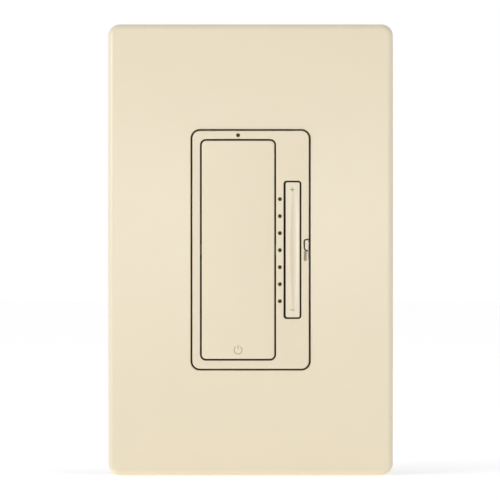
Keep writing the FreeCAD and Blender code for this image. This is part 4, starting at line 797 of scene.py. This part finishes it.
# ------------ circuit boards
def led_rows():
    """Heights of the level lights, top to bottom."""
    return [LED_MIDDLE_Z + ((LED_COUNT - 1) / 2 - i) * LED_PITCH for i in range(LED_COUNT)]


def lamp_places():
    """Where the level lamps and the locator's lamp stand."""
    return [(LED_X, z) for z in led_rows()] + [(LOCATOR_X, LOCATOR_Z)]


def resistor_places():
    """Where the resistors stand, one for each lamp."""
    rows = [(LED_X - RESISTOR_OFFSET, z) for z in led_rows()]
    return rows + [(LOCATOR_X - RESISTOR_OFFSET, LOCATOR_Z - RESISTOR_DROP)]


def track(points, width, y0, y1):
    """A copper track through points on a board, as one block for each straight run."""
    half = width / 2
    made = []
    for (xa, za), (xb, zb) in zip(points, points[1:]):
        left, right, low, high = min(xa, xb), max(xa, xb), min(za, zb), max(za, zb)
        made.append(block(left - half, right + half, y0, y1, low - half, high + half))
    return made


def make_control_board_tracks():
    """Copper from the chip to each lamp, the lamps' common line and the chip's supply."""
    copper, face = CONTROL_FRONT - 0.035, CONTROL_FRONT + 0.01
    rows = led_rows()
    chip_reach, first_bus, bus_pitch = 4.4, 3.4, 0.33
    resistor_x, common_x, locator_x = LED_X - RESISTOR_OFFSET, LED_X + 1.2, CHIP_X - 2.8
    supply_x, supply_z = -9.6, -24.0
    tracks = []
    for i, z in enumerate(rows):
        bus = first_bus - bus_pitch * i
        leg = CHIP_Z + (CHIP_LEGS - 1 - 2 * i) / 2 * CHIP_PITCH
        to_resistor = [(CHIP_X + chip_reach, leg), (bus, leg), (bus, z), (resistor_x - 0.9, z)]
        tracks += track(to_resistor, 0.18, copper, face)
        tracks += track([(resistor_x + 0.8, z), (LED_X - 1.1, z)], 0.5, copper, face)
    common = [(common_x, rows[0]), (common_x, rows[-1]), (common_x, -26.0)]
    tracks += track(common, 0.6, copper, face)
    locator = [(locator_x, CHIP_Z + chip_reach), (locator_x, LOCATOR_Z - RESISTOR_DROP)]
    tracks += track(locator, 0.2, copper, face)
    supply = [(CHIP_X - chip_reach, CHIP_Z), (supply_x, CHIP_Z), (supply_x, supply_z), (2.6, supply_z)]
    tracks += track(supply, 0.3, copper, face)
    in_place("control_board_tracks", tracks, "track")


def solder_pad(x, z, half_w, half_h):
    """A flat tinned pad on the front board's face."""
    front, back = CONTROL_FRONT - 0.045, CONTROL_FRONT + 0.01
    return block(x - half_w, x + half_w, front, back, z - half_h, z + half_h)


def make_control_board_solder():
    """Pads under the lamps, resistors and switches, and a fillet round each header pin."""
    pads = [solder_pad(x + s * 0.95, z, 0.4, 0.5)
            for x, z in lamp_places() + resistor_places() for s in SIDES]
    for x, key_z in ((PADDLE_X, PADDLE_KEY_Z), (BAR_X, BAR_KEY_Z)):
        pads += [solder_pad(x + sx * 2.75, z + sz * 1.7, 0.5, 0.4)
                 for sx in SIDES for sz in SIDES for z in (-key_z, key_z)]
    fillet = [(0.95, 0.0), (0.9, 0.05), (0.5, 0.5), (0.36, 0.75)]
    pads += [lathe_on_board(fillet, x, CONTROL_FRONT, z, -1) for x, z in header_places()]
    in_place("control_board_solder", pads, "tinned_metal")


def make_lamps():
    """The lamps' pale cases, each with a domed window."""
    front = LED_FRONT + 0.3
    dome = [(0.52, 0.0), (0.5, 0.12), (0.38, 0.24), (0.2, 0.29), (0, 0.3)]
    cases = [block(x - 1.0, x + 1.0, front, CONTROL_FRONT - 0.03, z - 0.62, z + 0.62, 0.06)
             for x, z in lamp_places()]
    in_place("lamp_cases", cases, "lamp_package", "base", ("status_leds",))
    domes = [lathe_on_board(dome, x, front, z, -1) for x, z in lamp_places()]
    in_place("lamp_domes", domes, "plunger_plastic", "base", ("status_leds",))


def make_resistors():
    """Chip resistors: a dark body between two tinned ends."""
    front, back = CONTROL_FRONT - 0.45, CONTROL_FRONT
    bodies = [block(x - 0.52, x + 0.52, front + 0.02, back - 0.02, z - 0.38, z + 0.38, 0.03)
              for x, z in resistor_places()]
    in_place("resistor_bodies", bodies, "black_epoxy", "base", ("chip_resistors",))
    ends = [block(x + s * 0.65 - 0.15, x + s * 0.65 + 0.15, front, back, z - 0.4, z + 0.4, 0.04)
            for x, z in resistor_places() for s in SIDES]
    in_place("resistor_ends", ends, "tinned_metal", "base", ("chip_resistors",))


def header_places():
    """Where the pins between the boards stand."""
    return [(HEADER_X + col * HEADER_PITCH, HEADER_Z + row * HEADER_PITCH)
            for row in range(HEADER_ROWS) for col in range(2)]


def lathe_on_board(profile, x, y, z, side):
    """A turned shape standing on a board's face, towards the room if side is -1."""
    mesh = lathe(profile, 20)
    mesh.transform(aimed(Y * side, (x, y, z)))
    return mesh


def gull_wing(x, z, out_x, out_z):
    """One bent leg of the chip, from its body down to the board."""
    across = 0.16
    top, low, thick = CONTROL_FRONT - 0.62, CONTROL_FRONT - 0.17, 0.15
    section = [(0.0, top), (0.32, top), (0.52, low), (0.98, low), (0.98, low + thick), (0.42, low + thick),
               (0.24, top + thick), (0.0, top + thick)]
    rings = []
    for s in SIDES:
        rings.append([(x + d * out_x + s * across * out_z, y, z + d * out_z + s * across * out_x)
                      for d, y in section])
    return skin(rings)


def make_chip():
    """The control chip: an epoxy body with bent tin legs and a dimple by pin one."""
    front, back = CONTROL_FRONT - 1.1, CONTROL_FRONT - 0.2
    half, narrow = CHIP_SIZE / 2, CHIP_SIZE / 2 - 0.22
    middle = (front + back) / 2
    rings = [[(CHIP_X + px * k, y, CHIP_Z + pz * k) for px, pz in ((-1, -1), (1, -1), (1, 1), (-1, 1))]
             for k, y in ((narrow, front), (half, middle), (half, middle + 0.06), (narrow, back))]
    dimple = lathe_on_board([(0.45, -0.06), (0.45, 0.5)], CHIP_X - 2.6, front, CHIP_Z + 2.6, -1)
    body = carve(skin(rings), dimple)
    in_place("chip_body", [body], "black_epoxy", "base", ("microcontroller",), 20)
    legs = []
    for i in range(CHIP_LEGS):
        step = (i - (CHIP_LEGS - 1) / 2) * CHIP_PITCH
        for s in SIDES:
            root = s * (half - 0.02)
            legs.append(gull_wing(CHIP_X + step, CHIP_Z + root, 0, s))
            legs.append(gull_wing(CHIP_X + root, CHIP_Z + step, s, 0))
    in_place("chip_legs", legs, "tinned_metal", "base", ("microcontroller",), 20)


# ------------ power board
def make_choke_winding():
    """One enamelled wire wound round the toroid, with both ends down to the board."""
    lift = CHOKE_WIRE / 2
    x0, x1, y0, y1 = CHOKE_INNER - lift, CHOKE_OUTER + lift, CHOKE_Y0 - lift, CHOKE_Y1 + lift
    corner = 0.45
    loop = []
    for cx, cy, first in ((x1 - corner, y0 + corner, -90), (x1 - corner, y1 - corner, 0),
                          (x0 + corner, y1 - corner, 90), (x0 + corner, y0 + corner, 180)):
        for a in (first, first + 30, first + 60, first + 90):
            loop.append((cx + corner * math.cos(math.radians(a)), cy + corner * math.sin(math.radians(a))))
    path = []
    covered = 340                # degrees of the ring under wire
    total = CHOKE_TURNS * len(loop)
    for i in range(total):
        angle = math.radians(covered * i / total)
        r, y = loop[i % len(loop)]
        path.append((CHOKE_X + r * math.cos(angle), y, CHOKE_Z + r * math.sin(angle)))
    first, last = path[0], path[-1]
    path = [(first[0], POWER_BACK + 0.02, first[2]), *path, (last[0], POWER_BACK + 0.02, last[2])]
    wire = tube(path, CHOKE_WIRE / 2 - 0.02, 12)
    in_place("choke_winding_wound", [wire], "enamelled_copper", "base", ("choke_winding",),
             60)


def make_can():
    """The electrolytic can: sleeve with a rolled neck, bare top with its vent scored, and rubber foot."""
    low, neck, top = POWER_BACK, POWER_BACK + 2.2, CAN_TOP
    sleeve = [(CAN_R - 0.5, low + 0.3), (CAN_R - 0.12, low + 0.45), (CAN_R, low + 0.8), (CAN_R, neck - 0.6),
              (CAN_R - 0.18, neck - 0.25), (CAN_R - 0.3, neck), (CAN_R - 0.18, neck + 0.25),
              (CAN_R, neck + 0.6), (CAN_R, top - 0.7), (CAN_R - 0.1, top - 0.35), (CAN_R - 0.4, top - 0.1),
              (CAN_R - 1.1, top - 0.04), (CAN_R - 1.1, top - 0.3)]
    place = aimed(Y, (CAN_X, 0, CAN_Z))
    assemble("capacitor_sleeve", [(lathe(sleeve, 64), place)], "can_sleeve", "base", ("supply_capacitor",))
    disc = lathe([(CAN_R - 0.9, top - 0.4), (CAN_R - 1.0, top - 0.14), (CAN_R - 1.3, top - 0.1)], 64)
    reach, half, floor_z = 2.6, 0.12, top - 0.2
    vent = [block(-reach, reach, -half, half, floor_z, top + 1),
            block(-half, half, -reach, reach, floor_z, top + 1)]
    assemble("capacitor_top", [(carve(disc, *vent), place)], "can_top", "base", ("supply_capacitor",))
    foot = lathe([(CAN_R - 0.9, low), (CAN_R - 0.8, low + 0.1), (CAN_R - 0.7, low + 0.4)], 48)
    assemble("capacitor_foot", [(foot, place)], "black_epoxy", "base", ("supply_capacitor",))


def make_power_board_solder():
    """A solder joint on the power board's front face for each lead behind it."""
    pins = header_places()
    pins += [(TRANSISTOR_LEG_X, s * TRANSISTOR_Z + i * TRANSISTOR_LEG_PITCH)
             for s in SIDES for i in (-1, 0, 1)]
    pins += [(CAN_X + s * CAN_PIN, CAN_Z) for s in SIDES] + [(FILM_X, z) for z in FILM_PINS]
    pins += [(VARISTOR_X, VARISTOR_Z + s * VARISTOR_PIN) for s in SIDES] + [(FUSE_X, z) for z in FUSE_PINS]
    fillet = [(1.0, 0.0), (0.92, 0.06), (0.5, 0.45), (0.3, 0.7)]
    joints = [lathe_on_board(fillet, x, POWER_FRONT, z, -1) for x, z in pins]
    in_place("power_board_solder", joints, "tinned_metal")


def make_power_board_tracks():
    """Wide copper between the leads of the power board."""
    copper, face = POWER_FRONT - 0.05, POWER_FRONT + 0.01
    fuse_low, fuse_high = FUSE_PINS
    film_low, film_high = FILM_PINS
    varistor_low, varistor_high = VARISTOR_Z - VARISTOR_PIN, VARISTOR_Z + VARISTOR_PIN
    runs = [
        ([(TRANSISTOR_LEG_X, TRANSISTOR_Z), (TRANSISTOR_LEG_X, -TRANSISTOR_Z)], 1.6),
        ([(FUSE_X, fuse_high), (FUSE_X, varistor_low), (VARISTOR_X, varistor_low)], 2.4),
        ([(VARISTOR_X, varistor_high), (VARISTOR_X, 5.0), (-14.0, 5.0)], 2.4),
        ([(FILM_X, film_low), (FILM_X, CAN_Z)], 2.0),
        ([(FILM_X, film_high), (FILM_X, 24.0), (-12.0, 24.0)], 2.4),
        ([(FUSE_X, fuse_low), (-13.0, fuse_low)], 2.4),
    ]
    tracks = [t for points, width in runs for t in track(points, width, copper, face)]
    in_place("power_board_tracks", tracks, "track")


# ------------ label on the housing
def make_label():
    """A plain label in the recess on the housing's back."""
    film = block(-LABEL_W / 2, LABEL_W / 2, LABEL_Y, LABEL_Y + 0.1,
                 LABEL_Z - LABEL_H / 2, LABEL_Z + LABEL_H / 2, 0.03)
    in_place("housing_label", [film], "label")


def make_label_print():
    """The label's frame, a generic diagram of a switch and a lamp, and rows of plain dashes."""
    inner, outer, line = LABEL_Y + 0.09, LABEL_Y + 0.115, 0.3
    margin, divide_z = 1.2, 9.0
    right, half_h = LABEL_W / 2 - margin, LABEL_H / 2 - margin
    low, high = LABEL_Z - half_h, LABEL_Z + half_h
    edges = [(-right, low, right, low), (-right, high, right, high), (-right, low, -right, high),
             (right, low, right, high), (-right, divide_z, right, divide_z)]
    ring_x, lamp_x, live_z, return_z, lamp_z, lamp_r, cross = -9.0, 8.0, 3.5, -7.5, -2.0, 2.0, 1.4
    wires = [(ring_x + 1, live_z, -3.0, live_z), (-3.0, live_z, 1.2, 5.6), (2.0, live_z, lamp_x, live_z),
             (lamp_x, live_z, lamp_x, lamp_z + 2.2), (lamp_x, lamp_z - 2.2, lamp_x, return_z),
             (lamp_x, return_z, ring_x + 1, return_z)]
    crossed = [(lamp_x - cross, lamp_z - s * cross, lamp_x + cross, lamp_z + s * cross) for s in (1, -1)]
    marks = [stroke(*ends, line, outer, inner) for ends in edges + wires]
    marks += [arc_band(ring_x, z, 0.7, line, 0, 359.9, inner, outer) for z in (live_z, return_z)]
    marks.append(arc_band(lamp_x, lamp_z, lamp_r, line, 0, 359.9, inner, outer))
    marks += [stroke(*ends, line, outer, inner) for ends in crossed]
    dash_w, dash_h, column_step, row_step = 3.1, 0.4, 4.4, 1.8
    for i in range(5):
        for row in range(3):
            x, z = -10.5 + column_step * i, 12.2 + row_step * row
            marks.append(block(x, x + dash_w, inner, outer, z, z + dash_h))
    in_place("housing_label_print", marks, "dark_ink")


finish_cad_nodes()
repaint("dimmer_bar", "bar_plastic", lambda p: True)
# painted shade: the ears at the paddle's sides get a darker colour for the shade in the seam
repaint("paddle", "ear_plastic", lambda p: abs(p.x - PADDLE_X) > EAR_X)
repaint("fuse_link", "tinned_metal", lambda p: p.z < FUSE_Z0 + FUSE_CAP or p.z > FUSE_Z1 - FUSE_CAP)
repaint("varistor", "tinned_metal", lambda p: p.y < VARISTOR_COAT_END)
make_box_screws()
make_plate_screws()
make_ground_screw()
make_terminal_screws()
make_housing_screws()
make_transistor_screws()
make_springs()
make_plungers()
make_bar_marks()
make_power_symbol()
make_control_board_tracks()
make_control_board_solder()
make_lamps()
make_resistors()
make_chip()
make_choke_winding()
make_can()
make_power_board_solder()
make_power_board_tracks()
make_label()
make_label_print()


# ------------ studio
def floor():
    """A pale floor under the plate's lower edge."""
    mesh = bpy.data.meshes.new("floor")
    half, z = 4.0, CAD_BOX[0].z - 0.0002
    mesh.from_pydata(rect(2 * half, 2 * half, z), [], [(0, 1, 2, 3)])
    made = new_object("floor", mesh)
    s = Shader("floor_paint", Roughness=0.95, Emission_Color=(1, 1, 1, 1), Base_Color=(0.9, 0.9, 0.9, 1))
    split = s.add("ShaderNodeSeparateXYZ", Vector=s.coords)
    s.put(s.surface, {"Emission_Strength": s.between(split.outputs["Y"], 0.52, 0.43, -0.5, -0.2)})
    mesh.materials.append(s.material)


def world():
    """A white room, dimmer behind the camera; the camera itself sees plain white."""
    made = bpy.data.worlds.new("room")
    made.use_nodes = True
    tree = made.node_tree
    back = tree.nodes["Background"]
    coords = tree.nodes.new("ShaderNodeTexCoord")
    split = tree.nodes.new("ShaderNodeSeparateXYZ")
    tree.links.new(coords.outputs["Generated"], split.inputs[0])
    room = tree.nodes.new("ShaderNodeMapRange")
    tree.links.new(split.outputs["Y"], room.inputs["Value"])
    for key, value in (("From Min", -0.9), ("From Max", -0.4), ("To Min", 0.03), ("To Max", 0.69)):
        room.inputs[key].default_value = value
    path = tree.nodes.new("ShaderNodeLightPath")
    strength = tree.nodes.new("ShaderNodeMix")
    tree.links.new(path.outputs["Is Camera Ray"], strength.inputs[0])
    tree.links.new(room.outputs[0], strength.inputs[2])
    strength.inputs[3].default_value = 1.0
    back.inputs["Color"].default_value = (1, 1, 1, 1)
    tree.links.new(strength.outputs[0], back.inputs["Strength"])
    bpy.context.scene.world = made


def lamp(name, place, size, power):
    """A soft rectangular lamp at a point, turned to the middle of the wall plate."""
    data = bpy.data.lights.new(name, "AREA")
    data.shape = "RECTANGLE"
    data.size, data.size_y = size
    data.energy = power
    made = new_object(name, data)
    made.location = place
    made.rotation_euler = (Vector((0, 0, 0)) - Vector(place)).to_track_quat("-Z", "Y").to_euler()


def camera():
    """Straight in front of the face, with a long lens."""
    data = bpy.data.cameras.new("camera")
    data.sensor_width = 36.0
    distance, width_seen = 1.2, 0.13915
    data.lens = data.sensor_width * distance / width_seen
    data.clip_start, data.clip_end = 0.01, 20
    made = new_object("camera", data)
    middle = (CAD_BOX[0] + CAD_BOX[1]) / 2
    aside, below = 0.00018, 0.00006
    made.location = (middle.x - aside, CAD_BOX[0].y - distance, middle.z - below)
    made.rotation_euler = (math.pi / 2, 0, 0)
    bpy.context.scene.camera = made


floor()
world()
lamp("key", (-1.22, -0.9, 0.34), (0.26, 0.6), 4.4)
lamp("side", (-0.88, -1.2, 0.2), (0.34, 0.5), 3.6)
lamp("fill", (0.7, -0.7, 0.12), (0.5, 0.5), 0.5)
lamp("front", (0, -1.32, 0.06), (0.4, 0.2), 0.98)
camera()
bpy.context.scene.view_settings.view_transform = "Standard"
